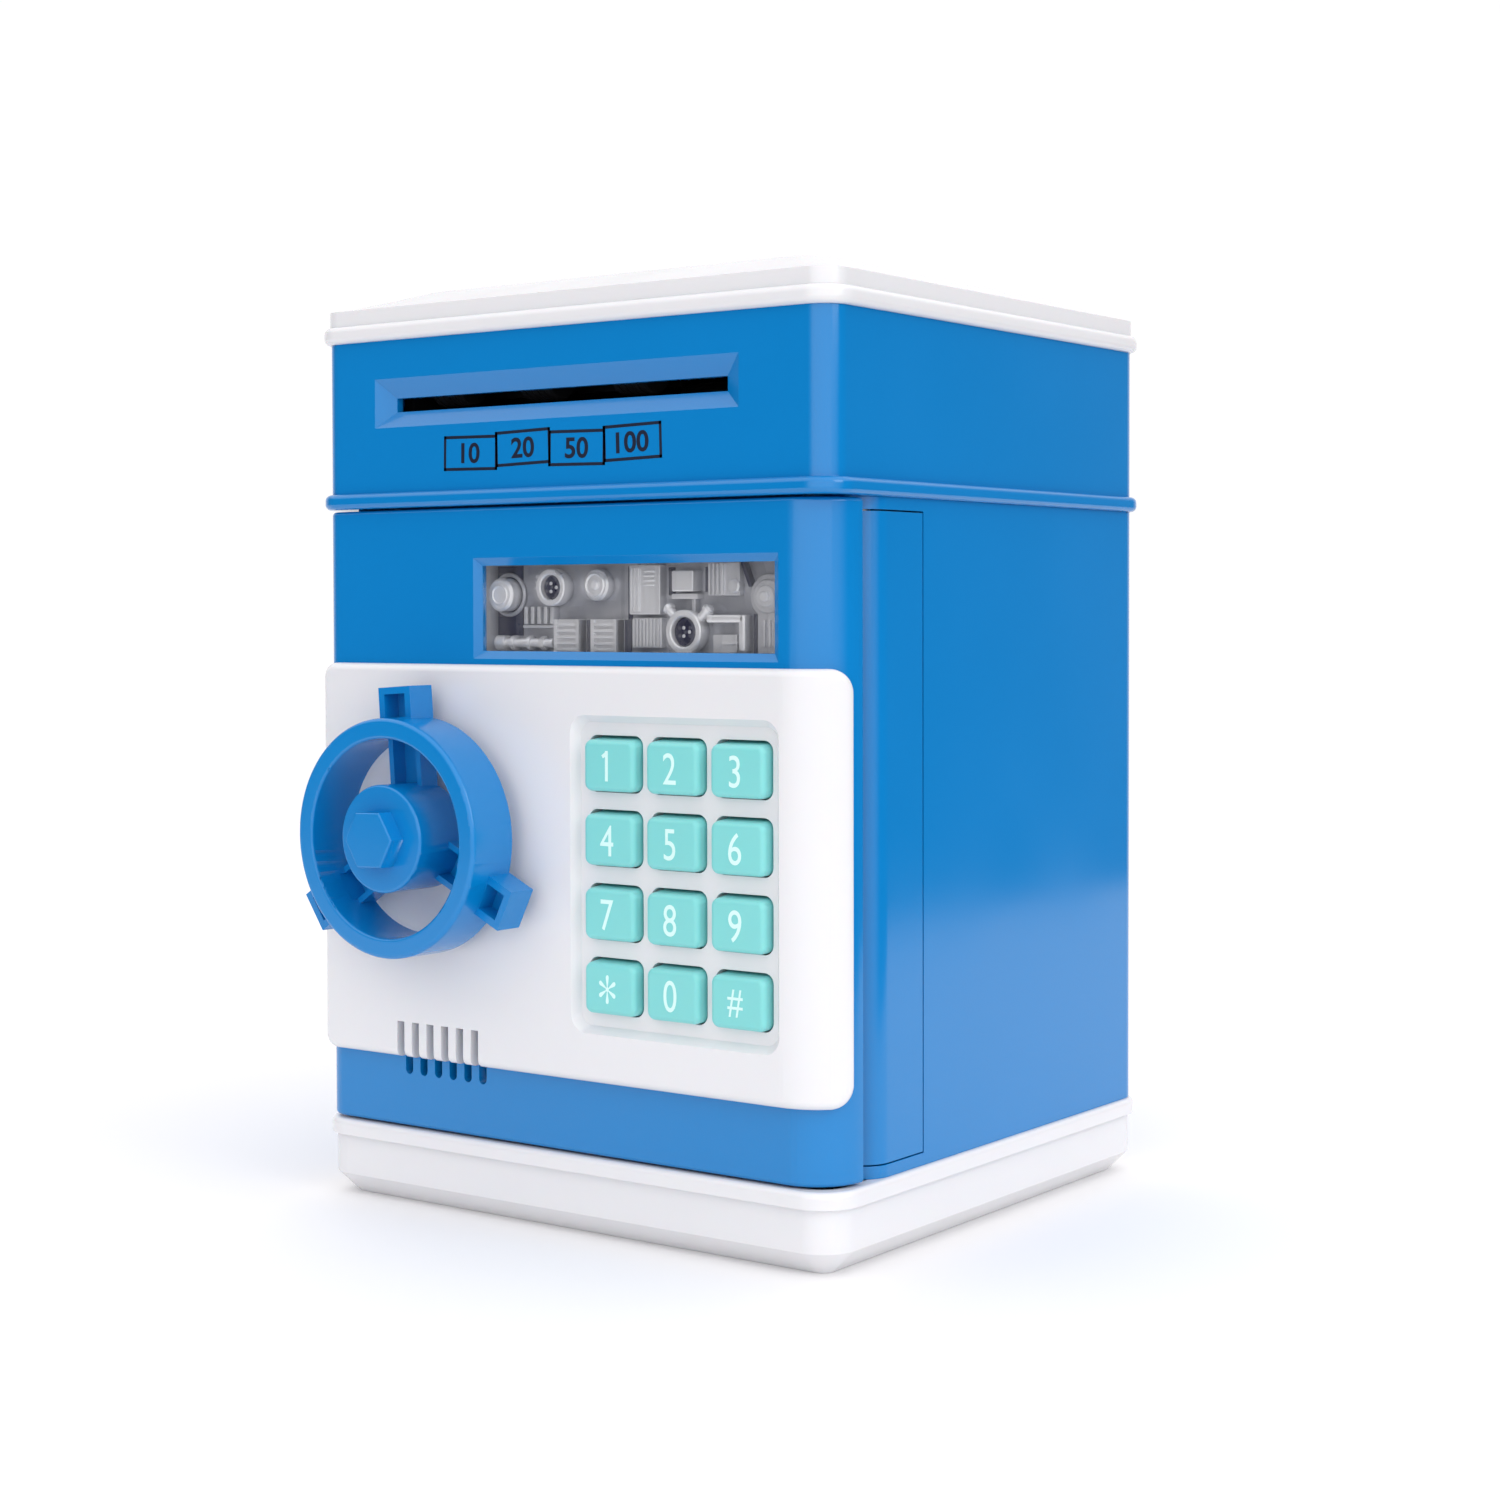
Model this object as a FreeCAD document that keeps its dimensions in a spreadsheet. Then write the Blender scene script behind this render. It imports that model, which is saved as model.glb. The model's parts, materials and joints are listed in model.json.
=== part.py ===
"""Toy electronic safe: a money box with a hinged door, a dial, a keypad and a note feeder.

Millimetres, +Z up, the front faces -Y and +X is to the right of someone facing it.
The origin is the centre of the underside of the base.
"""
import FreeCAD, Part
import math
import os
import re
import Sketcher

SIZES = [
    ("body_width", 129.0, "outside width of the cabinet"),
    ("body_depth", 119.0, "door face to back wall"),
    ("corner_radius", 5.2, "upright corners of the cabinet and the upper housing"),
    ("wall", 2.4, "cabinet, housing and base walls"),
    ("base_height", 16.0, "floor to the top of the base bead"),
    ("base_chamfer", 4.5, "bevel round the foot of the base"),
    ("bead_reach", 1.5, "how far the beads stand proud of the body"),
    ("bead_height", 3.2, "height of the beads on the base and the upper housing"),
    ("cabinet_height", 127.4, "money cabinet, from the base to the upper housing"),
    ("housing_height", 34.4, "upper housing, from the cabinet to the lid"),
    ("lid_bead", 3.6, "bottom bead of the lid"),
    ("lid_tier", 3.2, "upright step above the lid bead"),
    ("lid_rise", 4.6, "sloping part of the lid"),
    ("lid_slope", 15.0, "plan width of the sloping part of the lid"),
    ("door_gap", 0.4, "gap above, below and behind the door"),
    ("door_thick", 10.3, "depth of the door shell, also its corner radius at the hinge"),
    ("door_wall", 2.2, "wall of the door shell"),
    ("barrel_radius", 5.7, "hinge barrel"),
    ("hinge_setback", 18.8, "door face to hinge pin"),
    ("flap_reach", 13.4, "hinge pin to the free edge of the hinge flap"),
    ("ear_height", 2.4, "hinge ears, and the cabinet floor and ceiling they belong to"),
    ("pin_radius", 1.5, "steel hinge pins"),
    ("pin_length", 14.0, "steel hinge pins"),
    ("running_gap", 0.05, "radial play of a shaft in its bearing"),
    ("gap", 0.3, "play between a moving piece and its neighbours"),
    ("panel_thick", 2.5, "white front panel"),
    ("panel_low", 31.0, "bottom edge of the front panel above the floor"),
    ("panel_high", 111.6, "top edge of the front panel above the floor"),
    ("panel_left", 62.4, "centre line to the left edge of the front panel"),
    ("half_pitch", 30.3, "centre line to the dial on one side and the keypad on the other"),
    ("key_width", 12.7, "key across"),
    ("key_height", 10.4, "key upright"),
    ("key_pitch_x", 15.2, "key columns"),
    ("key_pitch_z", 14.3, "key rows"),
    ("key_centre_z", 71.4, "middle of the keypad above the floor"),
    ("key_proud", 0.6, "key faces in front of the panel"),
    ("key_travel", 1.2, "stroke of a key"),
    ("keypad_width", 49.6, "mouth of the keypad recess"),
    ("keypad_height", 61.6, "mouth of the keypad recess"),
    ("keypad_depth", 1.7, "depth of the keypad recess"),
    ("dial_centre_z", 77.4, "dial axis above the floor"),
    ("dial_radius", 23.8, "outside of the dial ring"),
    ("dial_ring_wall", 4.0, "dial ring, radially"),
    ("dial_ring_depth", 11.9, "dial ring, front to back"),
    ("dial_standoff", 3.3, "panel to the back of the dial ring"),
    ("hub_radius", 10.7, "dial hub"),
    ("hub_proud", 0.8, "hub face in front of the ring"),
    ("hex_flats", 10.8, "raised hexagon on the hub, across flats"),
    ("hex_proud", 3.6, "raised hexagon in front of the hub"),
    ("lug_width", 8.5, "square lugs round the dial"),
    ("lug_reach", 29.9, "dial axis to the end of a lug"),
    ("stem_radius", 4.6, "stem behind the dial"),
    ("shaft_radius", 2.0, "dial shaft"),
    ("bolt_depth", 4.0, "latch bolt, front to back"),
    ("bolt_height", 8.2, "latch bolt, upright"),
    ("slot_width", 84.6, "note slot"),
    ("slot_height", 2.8, "note slot"),
    ("slot_centre_x", -2.6, "note slot from the centre line"),
    ("slot_rise", 21.2, "top of the cabinet up to the middle of the note slot"),
    ("window_left", -20.6, "window opening, left edge from the centre line"),
    ("window_right", 51.2, "window opening, right edge from the centre line"),
    ("window_low", 114.3, "window opening above the floor"),
    ("window_high", 131.3, "window opening above the floor"),
    ("window_bevel", 1.6, "bevel round the window"),
    ("roller_radius", 5.0, "rubber note rollers"),
    ("feed_shaft_radius", 1.5, "shafts of the note rollers"),
    ("cell_radius", 7.15, "battery cells"),
    ("cell_length", 49.5, "battery cells without the button"),
    ("coin_length", 34.0, "coin slot"),
    ("coin_width", 3.4, "coin slot"),
    ("speaker_radius", 11.5, "loudspeaker"),
    ("screw_radius", 1.3, "self-tapping screws"),
]

DIAL_TURN = 4.0          # degrees that the dial stands turned at rest
GEAR_MODULE = 1.0        # latch pinion and rack
PINION_TEETH = 12
FEED_MODULE = 0.8        # note feeder gears
FEED_PINION_TEETH = 10
FEED_GEAR_TEETH = 24
BACKLASH = 0.3           # taken off each tooth, along the pitch line

doc = FreeCAD.newDocument("toy_safe")
sheet = doc.addObject("Spreadsheet::Sheet", "Sizes")
for row, (alias, number, note) in enumerate(SIZES, start=1):
    sheet.set(f"A{row}", alias)
    sheet.set(f"B{row}", str(number))
    sheet.set(f"C{row}", note)
    sheet.setAlias(f"B{row}", alias)
doc.recompute()

ALIASES = {alias for alias, number, note in SIZES}
WORD = re.compile(r"[a-z][a-z_]*")


def bound(text):
    """A formula in plain size names, written as the document wants it."""
    return WORD.sub(lambda found: ("Sizes." if found.group() in ALIASES else "") + found.group(),
                    str(text))


def value(text):
    """The number that a formula gives now, for what can't hold a formula."""
    return float(sheet.evalExpression(bound(text)))


def bind(thing, prop, text):
    thing.setExpression(prop, bound(text))


# Places that several pieces share, as formulas.
LEFT = "(-body_width / 2)"
RIGHT = "(body_width / 2)"
FRONT = "(-body_depth / 2)"
BACK = "(body_depth / 2)"
DOOR_BACK = f"({FRONT} + door_thick)"
CABINET_FRONT = f"({DOOR_BACK} + door_gap)"
CABINET_TOP = "(base_height + cabinet_height)"
HOUSING_TOP = f"({CABINET_TOP} + housing_height)"
FLOOR_TOP = "(base_height + ear_height)"
CEILING = f"({CABINET_TOP} - ear_height)"
DOOR_LOW = "(base_height + door_gap)"
DOOR_HIGH = f"({CABINET_TOP} - door_gap)"
HINGE_X = "(body_width / 2 - barrel_radius)"
HINGE_Y = f"({FRONT} + hinge_setback)"
BARREL_LOW = f"({FLOOR_TOP} + gap)"
BARREL_HIGH = f"({CEILING} - gap)"
PANEL_FACE = f"({FRONT} - panel_thick)"
DIAL_X = "(-half_pitch)"
DIAL_Z = "dial_centre_z"
RING_BACK = f"({PANEL_FACE} - dial_standoff)"
RING_FACE = f"({RING_BACK} - dial_ring_depth)"
HUB_FACE = f"({RING_FACE} - hub_proud)"
KEY_FACE = f"({PANEL_FACE} - key_proud)"
PAD_FLOOR = f"({PANEL_FACE} + keypad_depth)"
PAD_BACK = f"({PAD_FLOOR} + 3)"
KEY_BACK = f"({PAD_BACK} + 1.2)"
MEMBRANE_FACE = f"({KEY_BACK} + key_travel + 0.1)"
BOARD_FACE = f"({MEMBRANE_FACE} + 1.6)"
BOARD_BACK = f"({BOARD_FACE} + 1.6)"
COVER_FACE = f"({DOOR_BACK} - 2)"
CASE_BACK = f"({DOOR_BACK} + 12.5)"
BOLT_FACE = f"({DOOR_BACK} + 4.7)"
BOLT_BACK = f"({BOLT_FACE} + bolt_depth)"
PITCH_RADIUS = f"({PINION_TEETH * GEAR_MODULE / 2})"
RACK_LINE = f"({DIAL_Z} - {PITCH_RADIUS})"
BOLT_TOP = f"({RACK_LINE} - {1.25 * GEAR_MODULE})"
BOLT_LOW = f"({BOLT_TOP} - bolt_height)"
CASE_LEFT = "(-body_width / 2 + 12.7)"
BOLT_TIP = f"({CASE_LEFT} - 0.4)"
PLUNGER_X = "(-body_width / 2 + 24)"
PLUNGER_Y = f"(({BOLT_FACE} + {BOLT_BACK}) / 2)"
ROLLER_Y = f"({FRONT} + 13.5)"
SLOT_Z = f"({CABINET_TOP} + slot_rise)"
DRIVE_Z = f"({SLOT_Z} - roller_radius - 0.15)"
PINCH_Z = f"({SLOT_Z} + roller_radius + 0.15)"
FEED_CENTRES = FEED_MODULE * (FEED_PINION_TEETH + FEED_GEAR_TEETH) / 2
MOTOR_Y = f"({ROLLER_Y} + {FEED_CENTRES})"
DECK_LOW = f"({CABINET_TOP} + ear_height + 1.2)"
DECK_TOP = f"({DECK_LOW} + 2)"

TURN = {
    "x": FreeCAD.Rotation(FreeCAD.Vector(0, 1, 0), 90),
    "y": FreeCAD.Rotation(FreeCAD.Vector(1, 0, 0), -90),
    "z": FreeCAD.Rotation(),
}
PLANE = {"x": "YZ_Plane", "y": "XZ_Plane", "z": "XY_Plane"}


class Piece:
    """One moulded or turned sub-part: a PartDesign body, built feature by feature."""

    def __init__(self, name):
        self.name = name
        self.body = doc.addObject("PartDesign::Body", name)
        self.body.Label = name
        self.last_volume = 0.0

    def _add(self, kind):
        self.feature = self.body.newObject(f"PartDesign::{kind}", f"{self.name}_{kind}")
        return self.feature

    def _box(self, kind, low, high, spin=0.0):
        box = self._add(kind)
        box.Placement.Rotation = FreeCAD.Rotation(FreeCAD.Vector(0, 0, 1), spin)
        for prop, axis, start, end in zip(("Length", "Width", "Height"), "xyz", low, high):
            bind(box, prop, f"{end} - ({start})")
            bind(box, f"Placement.Base.{axis}", start)

    def _rod(self, kind, axis, centre, start, end, radius):
        rod = self._add(kind)
        rod.Placement.Rotation = TURN[axis]
        bind(rod, "Radius", radius)
        bind(rod, "Height", f"{end} - ({start})")
        spots = dict(zip([letter for letter in "xyz" if letter != axis], centre))
        spots[axis] = start
        for letter in "xyz":
            bind(rod, f"Placement.Base.{letter}", spots[letter])

    def box(self, low, high):
        self._box("AdditiveBox", low, high)

    def cut_box(self, low, high, spin=0.0):
        self._box("SubtractiveBox", low, high, spin)

    def rod(self, axis, centre, start, end, radius):
        self._rod("AdditiveCylinder", axis, centre, start, end, radius)

    def hole(self, axis, centre, start, end, radius):
        self._rod("SubtractiveCylinder", axis, centre, start, end, radius)

    def sketch(self, axis, at):
        """A sketch square to an axis, in the plane at that place along it."""
        plane = next(item for item in self.body.Origin.OriginFeatures if item.Role == PLANE[axis])
        sketch = self.body.newObject("Sketcher::SketchObject", f"{self.name}_sketch")
        sketch.AttachmentSupport = (plane, [""])
        sketch.MapMode = "FlatFace"
        bind(sketch, "AttachmentOffset.Base.z", f"-({at})" if axis == "y" else at)
        return sketch

    def _sweep(self, kind, axis, start, end, draw):
        """Pad or pocket a sketch from start to end along an axis."""
        against = axis == "y"
        if kind == "Pocket":
            against = not against
        sketch = self.sketch(axis, end if against else start)
        draw(sketch)
        solid = self._add(kind)
        solid.Profile = sketch
        bind(solid, "Length", f"{end} - ({start})")

    def pad(self, axis, start, end, draw):
        self._sweep("Pad", axis, start, end, draw)

    def pocket(self, axis, start, end, draw):
        self._sweep("Pocket", axis, start, end, draw)

    def loft(self, kind, axis, sections):
        """A loft through (place, draw) sections: AdditiveLoft or SubtractiveLoft."""
        sketches = []
        for at, draw in sections:
            sketch = self.sketch(axis, at)
            draw(sketch)
            sketches.append(sketch)
        solid = self._add(kind)
        solid.Profile = sketches[0]
        solid.Sections = sketches[1:]
        solid.Ruled = True

    def edges(self, test):
        """Names of the edges whose bounding box passes a test."""
        doc.recompute()
        tip = self.body.Tip
        return tip, [f"Edge{n}" for n, edge in enumerate(tip.Shape.Edges, 1) if test(edge.BoundBox)]

    def dress(self, kind, size, test):
        """Round (Fillet) or bevel (Chamfer) the edges that pass a test."""
        tip, names = self.edges(test)
        if not names:
            raise RuntimeError(f"{self.name}: no edge to dress")
        trim = self._add(kind)
        trim.Base = (tip, names)
        bind(trim, "Radius" if kind == "Fillet" else "Size", size)


def near(number, text, slack=0.02):
    return abs(number - value(text)) < slack


def level(text):
    """Edges that lie flat at a height."""
    return lambda box: near(box.ZMin, text) and near(box.ZMax, text)


def rectangle(x0, x1, y0, y1, *radii):
    """Draw a rectangle whose corners, from the low one anticlockwise, have these radii (0 is sharp)."""
    radii = (radii or (0,)) * (4 if len(radii) < 2 else 1)

    def draw(sketch):
        xs, ys = (x0, x1), (y0, y1)
        corners = [(0, 0), (1, 0), (1, 1), (0, 1)]
        points = []
        for (i, j), radius in zip(corners, radii):
            reach = value(radius)
            inward = (1 - 2 * i, 1 - 2 * j)
            corner = (value(xs[i]), value(ys[j]))
            flat = (corner[0] + inward[0] * reach, corner[1])
            upright = (corner[0], corner[1] + inward[1] * reach)
            arrive, leave = (upright, flat) if i == j else (flat, upright)
            middle = (corner[0] + inward[0] * reach, corner[1] + inward[1] * reach)
            points.append((arrive, leave, middle, reach, radius))
        lines = []
        for n in range(4):
            start = FreeCAD.Vector(*points[n][1], 0)
            end = FreeCAD.Vector(*points[(n + 1) % 4][0], 0)
            lines.append(sketch.addGeometry(Part.LineSegment(start, end), False))
        for n, (arrive, leave, middle, reach, radius) in enumerate(points):
            before, after = lines[n - 1], lines[n]
            if reach == 0:
                sketch.addConstraint(Sketcher.Constraint("Coincident", before, 2, after, 1))
                continue
            turned = [math.atan2(p[1] - middle[1], p[0] - middle[0]) for p in (arrive, leave)]
            circle = Part.Circle(FreeCAD.Vector(*middle, 0), FreeCAD.Vector(0, 0, 1), reach)
            arc = sketch.addGeometry(Part.ArcOfCircle(circle, *turned), False)
            sketch.addConstraint(Sketcher.Constraint("Tangent", before, 2, arc, 1))
            sketch.addConstraint(Sketcher.Constraint("Tangent", arc, 2, after, 1))
            pin = sketch.addConstraint(Sketcher.Constraint("Radius", arc, reach))
            bind(sketch, f"Constraints[{pin}]", radius)
        for n, (kind, place) in enumerate([("Y", y0), ("X", x1), ("Y", y1), ("X", x0)]):
            level_kind = "Horizontal" if kind == "Y" else "Vertical"
            sketch.addConstraint(Sketcher.Constraint(level_kind, lines[n]))
            pin = sketch.addConstraint(
                Sketcher.Constraint(f"Distance{kind}", -1, 1, lines[n], 1, value(place)))
            bind(sketch, f"Constraints[{pin}]", place)
    return draw


def polygon(*corners):
    """Draw a closed outline through points, each pinned by its two distances."""
    def draw(sketch):
        spots = [FreeCAD.Vector(value(x), value(y), 0) for x, y in corners]
        lines = [sketch.addGeometry(Part.LineSegment(a, b), False)
                 for a, b in zip(spots, spots[1:] + spots[:1])]
        for n, (x, y) in enumerate(corners):
            sketch.addConstraint(Sketcher.Constraint("Coincident", lines[n - 1], 2, lines[n], 1))
            for kind, place in (("X", x), ("Y", y)):
                pin = sketch.addConstraint(
                    Sketcher.Constraint(f"Distance{kind}", -1, 1, lines[n], 1, value(place)))
                bind(sketch, f"Constraints[{pin}]", place)
    return draw


def body_outline(reach, radius, front=FRONT):
    """The body's plan, grown by reach on every side."""
    return rectangle(f"{LEFT} - ({reach})", f"{RIGHT} + ({reach})",
                     f"{front} - ({reach})", f"{BACK} + ({reach})", radius)


def toothed(teeth, module, bore, thickness):
    """A spur gear along +Z with straight-flanked teeth, one tooth on +X."""
    pitch = teeth * module / 2
    half_tooth = (math.pi * module / 2 - BACKLASH) / 2 / pitch
    lean = math.tan(math.radians(20)) * module / pitch
    root, tip = pitch - 1.25 * module, pitch + 0.8 * module
    points = []
    for n in range(teeth):
        middle = 2 * math.pi * n / teeth
        for radius, half in ((root, half_tooth + lean), (tip, half_tooth - 0.8 * lean)):
            points.append((radius, middle - half))
        for radius, half in ((tip, half_tooth - 0.8 * lean), (root, half_tooth + lean)):
            points.append((radius, middle + half))
    corners = [FreeCAD.Vector(r * math.cos(a), r * math.sin(a), 0) for r, a in points]
    outline = Part.makePolygon(corners + corners[:1])
    blank = Part.Face(outline).extrude(FreeCAD.Vector(0, 0, thickness))
    return blank.cut(Part.makeCylinder(bore, thickness))


def loose_shape(name, shape, placement):
    """A sub-part whose outline is worked out in code, such as a gear."""
    item = doc.addObject("Part::Feature", name)
    item.Label = name
    item.Shape = shape
    item.Placement = placement
    return item


def rods(name, axis, spots, radius_spans):
    """Like turned pieces, such as a set of screws: each spot gets the same stack of cylinders."""
    piece = Piece(name)
    for spot in spots:
        for radius, start, end in radius_spans:
            piece.rod(axis, spot, start, end, radius)
    return piece


# ---------------------------------------------------------------- places of fasteners and holes
BASE_SCREWS = [(f"{side}({RIGHT} - {inset_x})", y) for side in ("", "-")
               for inset_x, y in (("12.5", f"{BACK} - 13.5"), ("24.5", f"{FRONT} + 29.5"))]
LID_SCREWS = [(f"{side}({RIGHT} - 10.5)", y) for side in ("", "-")
              for y in (f"{BACK} - 10.5", f"{FRONT} + 10.5")]
HOUSING_SCREWS = [(f"{side}({RIGHT} - 14.5)", y) for side in ("", "-")
                  for y in (f"{BACK} - 20", "0")]
DOOR_SCREWS = [(x, z) for x in (f"{LEFT} + 6.8", f"{HINGE_X} - 8.4")
               for z in (f"{DOOR_LOW} + 6", f"{DOOR_HIGH} - 6")]
PANEL_PEGS = [(x, z) for x in ("-panel_left + 6.4", "-4")
              for z in ("panel_low + 6", "panel_high - 6")]
DECK_SCREWS = [(-54, f"{ROLLER_Y} + 26"), (-54, f"{ROLLER_Y} + 6"), (32, f"{ROLLER_Y} + 26"),
               (20, f"{ROLLER_Y} - 6")]
BAY = {"left": -29.5, "right": 29.5, "front": 7.0, "back": 53.0}
BAY_SCREW = (BAY["right"] + 6, (BAY["front"] + BAY["back"]) / 2)
COIN_Y = 22.0
SPEAKER_SLOTS = [f"({DIAL_X} + {4.03 * (n - 2.5)})" for n in range(6)]
KEY_COLUMNS = [f"(half_pitch + {n} * key_pitch_x)" for n in (-1, 0, 1)]
KEY_ROWS = [f"(key_centre_z + {n} * key_pitch_z)" for n in (1.5, 0.5, -0.5, -1.5)]
KEY_NAMES = ["1", "2", "3", "4", "5", "6", "7", "8", "9", "star", "0", "hash"]


def make_base():
    tray = Piece("base_tray")
    bead_low = "(base_height - bead_height)"
    tray.pad("z", "0", bead_low, body_outline("0.4", "corner_radius + 2"))
    tray.dress("Chamfer", "base_chamfer", level("0"))
    tray.pad("z", bead_low, "base_height", body_outline("bead_reach", "corner_radius + 3"))
    tray.dress("Fillet", "bead_height / 2.6", lambda box: near(box.ZMin, "base_height")
               and near(box.ZMax, "base_height"))
    tray.pocket("z", "wall", "base_chamfer + 1.5",
                body_outline("-(base_chamfer + wall)", "corner_radius"))
    tray.pocket("z", "base_chamfer + 1.5", "base_height", body_outline("-wall + 0.4", "corner_radius"))
    left, right, front, back = BAY["left"], BAY["right"], BAY["front"], BAY["back"]
    tray.box((left - 2, front - 2, 0), (right + 2, back + 2, f"{FLOOR_TOP} + 0.2"))
    tray.rod("z", BAY_SCREW, 0, "base_height - 3", 4.2)
    for x, y in BASE_SCREWS:
        tray.rod("z", (x, y), "wall / 2", "base_height", 4)
    tray.cut_box((left, front, -1), (right, back, "2.6 + 2 * cell_radius"))
    tray.cut_box((left - 1.2, front - 1.2, -1), (right + 1.2, back + 1.2, 2))
    tray.cut_box((right, BAY_SCREW[1] - 6.2, -1), (right + 9.7, BAY_SCREW[1] + 6.2, 2))
    tray.hole("z", BAY_SCREW, 0, "base_height - 6", "screw_radius")
    for x, y in BASE_SCREWS:
        tray.hole("z", (x, y), -1, 8, 3)
        tray.hole("z", (x, y), 7, "base_height + 1", "screw_radius + 0.2")
    cover = Piece("battery_door")
    cover.box((left - 1, front - 1, 0.2), (right + 1, back + 1, 1.9))
    cover.box((right, BAY_SCREW[1] - 6, 0.2), (right + 9.4, BAY_SCREW[1] + 6, 1.9))
    for n in range(5):
        cover.cut_box((-10, front + 4 + 2.4 * n, 0), (10, front + 5 + 2.4 * n, 0.8))
    cover.hole("z", BAY_SCREW, 0, 2.5, "screw_radius + 0.2")
    cover.hole("z", BAY_SCREW, 0, 1.0, 2.8)
    rods("battery_door_screw", "z", [BAY_SCREW], [(2.5, 0.3, 1.0), ("screw_radius", 0.9, 8)])
    cells = Piece("battery_cells")
    pitch = (back - front) / 3
    contacts = Piece("battery_contacts")
    for n in range(3):
        y = front + pitch * (n + 0.5)
        way = 1 if n % 2 else -1
        flip = "-" if way < 0 else ""
        axis_z = "2.3 + cell_radius"
        cells.rod("x", (y, axis_z), "-cell_length / 2", "cell_length / 2", "cell_radius")
        ends = sorted((f"{flip}(cell_length / 2 - 0.5)", f"{flip}(cell_length / 2 + 1.2)"), key=value)
        cells.rod("x", (y, axis_z), ends[0], ends[1], 2.75)
        contacts.box((left, y - 5.5, 4), (left + 0.4, y + 5.5, 15))
        contacts.box((right - 0.4, y - 5.5, 4), (right, y + 5.5, 15))
        spring = (("cell_length / 2 + 0.1", right - 0.2) if way < 0
                  else (left + 0.2, "-cell_length / 2 - 0.1"))
        contacts.rod("x", (y, axis_z), spring[0], spring[1], 3)
        button = (("cell_length / 2 + 1.3", right - 0.2) if way > 0
                  else (left + 0.2, "-cell_length / 2 - 1.3"))
        contacts.rod("x", (y, axis_z), button[0], button[1], 2)
    rods("base_screws", "z", BASE_SCREWS,
         [(2.8, 5.6, 7), ("screw_radius", 6.8, f"{FLOOR_TOP} + 4")])


def make_cabinet():
    shell = Piece("cabinet_shell")
    shell.pad("z", "base_height", CABINET_TOP,
              rectangle(LEFT, RIGHT, CABINET_FRONT, BACK, 0, 0, "corner_radius", "corner_radius"))
    shell.pocket("z", FLOOR_TOP, CEILING,
                 rectangle(f"{LEFT} + wall", f"{RIGHT} - wall", f"{CABINET_FRONT} - 1", f"{BACK} - wall",
                           0, 0, "corner_radius - wall", "corner_radius - wall"))
    ear_front = f"({HINGE_Y} - barrel_radius)"
    shell.cut_box((f"{HINGE_X} - barrel_radius", f"{CABINET_FRONT} - 1", "base_height - 1"),
                  (f"{RIGHT} + 1", ear_front, f"{CABINET_TOP} + 1"))
    shell.cut_box((f"{RIGHT} - 2 * wall", f"{ear_front} - 1", FLOOR_TOP),
                  (f"{RIGHT} + 1", HINGE_Y, CEILING))
    shell.hole("z", (HINGE_X, HINGE_Y), FLOOR_TOP, CEILING, "flap_reach + gap")
    shell.dress("Fillet", "barrel_radius - 0.01",
                lambda box: near(box.XMin, RIGHT) and near(box.YMin, ear_front)
                            and near(box.YMax, ear_front))
    shell.hole("z", (HINGE_X, HINGE_Y), "base_height - 1", f"{CABINET_TOP} + 1", "pin_radius")
    # The strike: a rib on the left wall that the bolt runs behind.
    shell.box((f"{LEFT} + wall / 2", f"{CABINET_FRONT} + 0.2", f"{BOLT_LOW} - 8"),
              (f"{LEFT} + 9", f"{BOLT_FACE} - gap - 0.2", f"{BOLT_TOP} + 10"))
    left, right, front, back = BAY["left"], BAY["right"], BAY["front"], BAY["back"]
    shell.cut_box((left - 2.3, front - 2.3, "base_height - 1"),
                  (right + 2.3, back + 2.3, f"{FLOOR_TOP} + 1"))
    for x, y in BASE_SCREWS:
        shell.rod("z", (x, y), "base_height + 1", f"{FLOOR_TOP} + 5", 4)
        shell.hole("z", (x, y), "base_height - 1", f"{FLOOR_TOP} + 4.2", "screw_radius")
    for x, y in HOUSING_SCREWS:
        shell.hole("z", (x, y), f"{CEILING} - 1", f"{CABINET_TOP} + 1", "screw_radius + 0.2")
    shell.cut_box((-47, f"{ROLLER_Y} + 7", f"{CEILING} - 1"),
                  (20, f"{ROLLER_Y} + 26", f"{CABINET_TOP} + 1"))
    shell.cut_box((-19.3, COIN_Y - 4.3, f"{CEILING} - 1"), (19.3, COIN_Y + 4.3, f"{CABINET_TOP} + 1"))
    for x, y in LID_SCREWS:
        shell.hole("z", (x, y), f"{CEILING} - 1", f"{CABINET_TOP} + 1", 3)
    pins = Piece("hinge_pins")
    for start in ("base_height + 0.2", f"{CABINET_TOP} - 0.2 - pin_length"):
        pins.rod("z", (HINGE_X, HINGE_Y), start, f"{start} + pin_length", "pin_radius")


def outer_edge(box):
    """Edges on the outside of the bead: none of the body's own edges reach that far."""
    wide = max(abs(box.XMin), abs(box.XMax)) > value("body_width / 2 + bead_reach - 0.02")
    deep = max(abs(box.YMin), abs(box.YMax)) > value("body_depth / 2 + bead_reach - 0.02")
    return wide or deep


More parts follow.
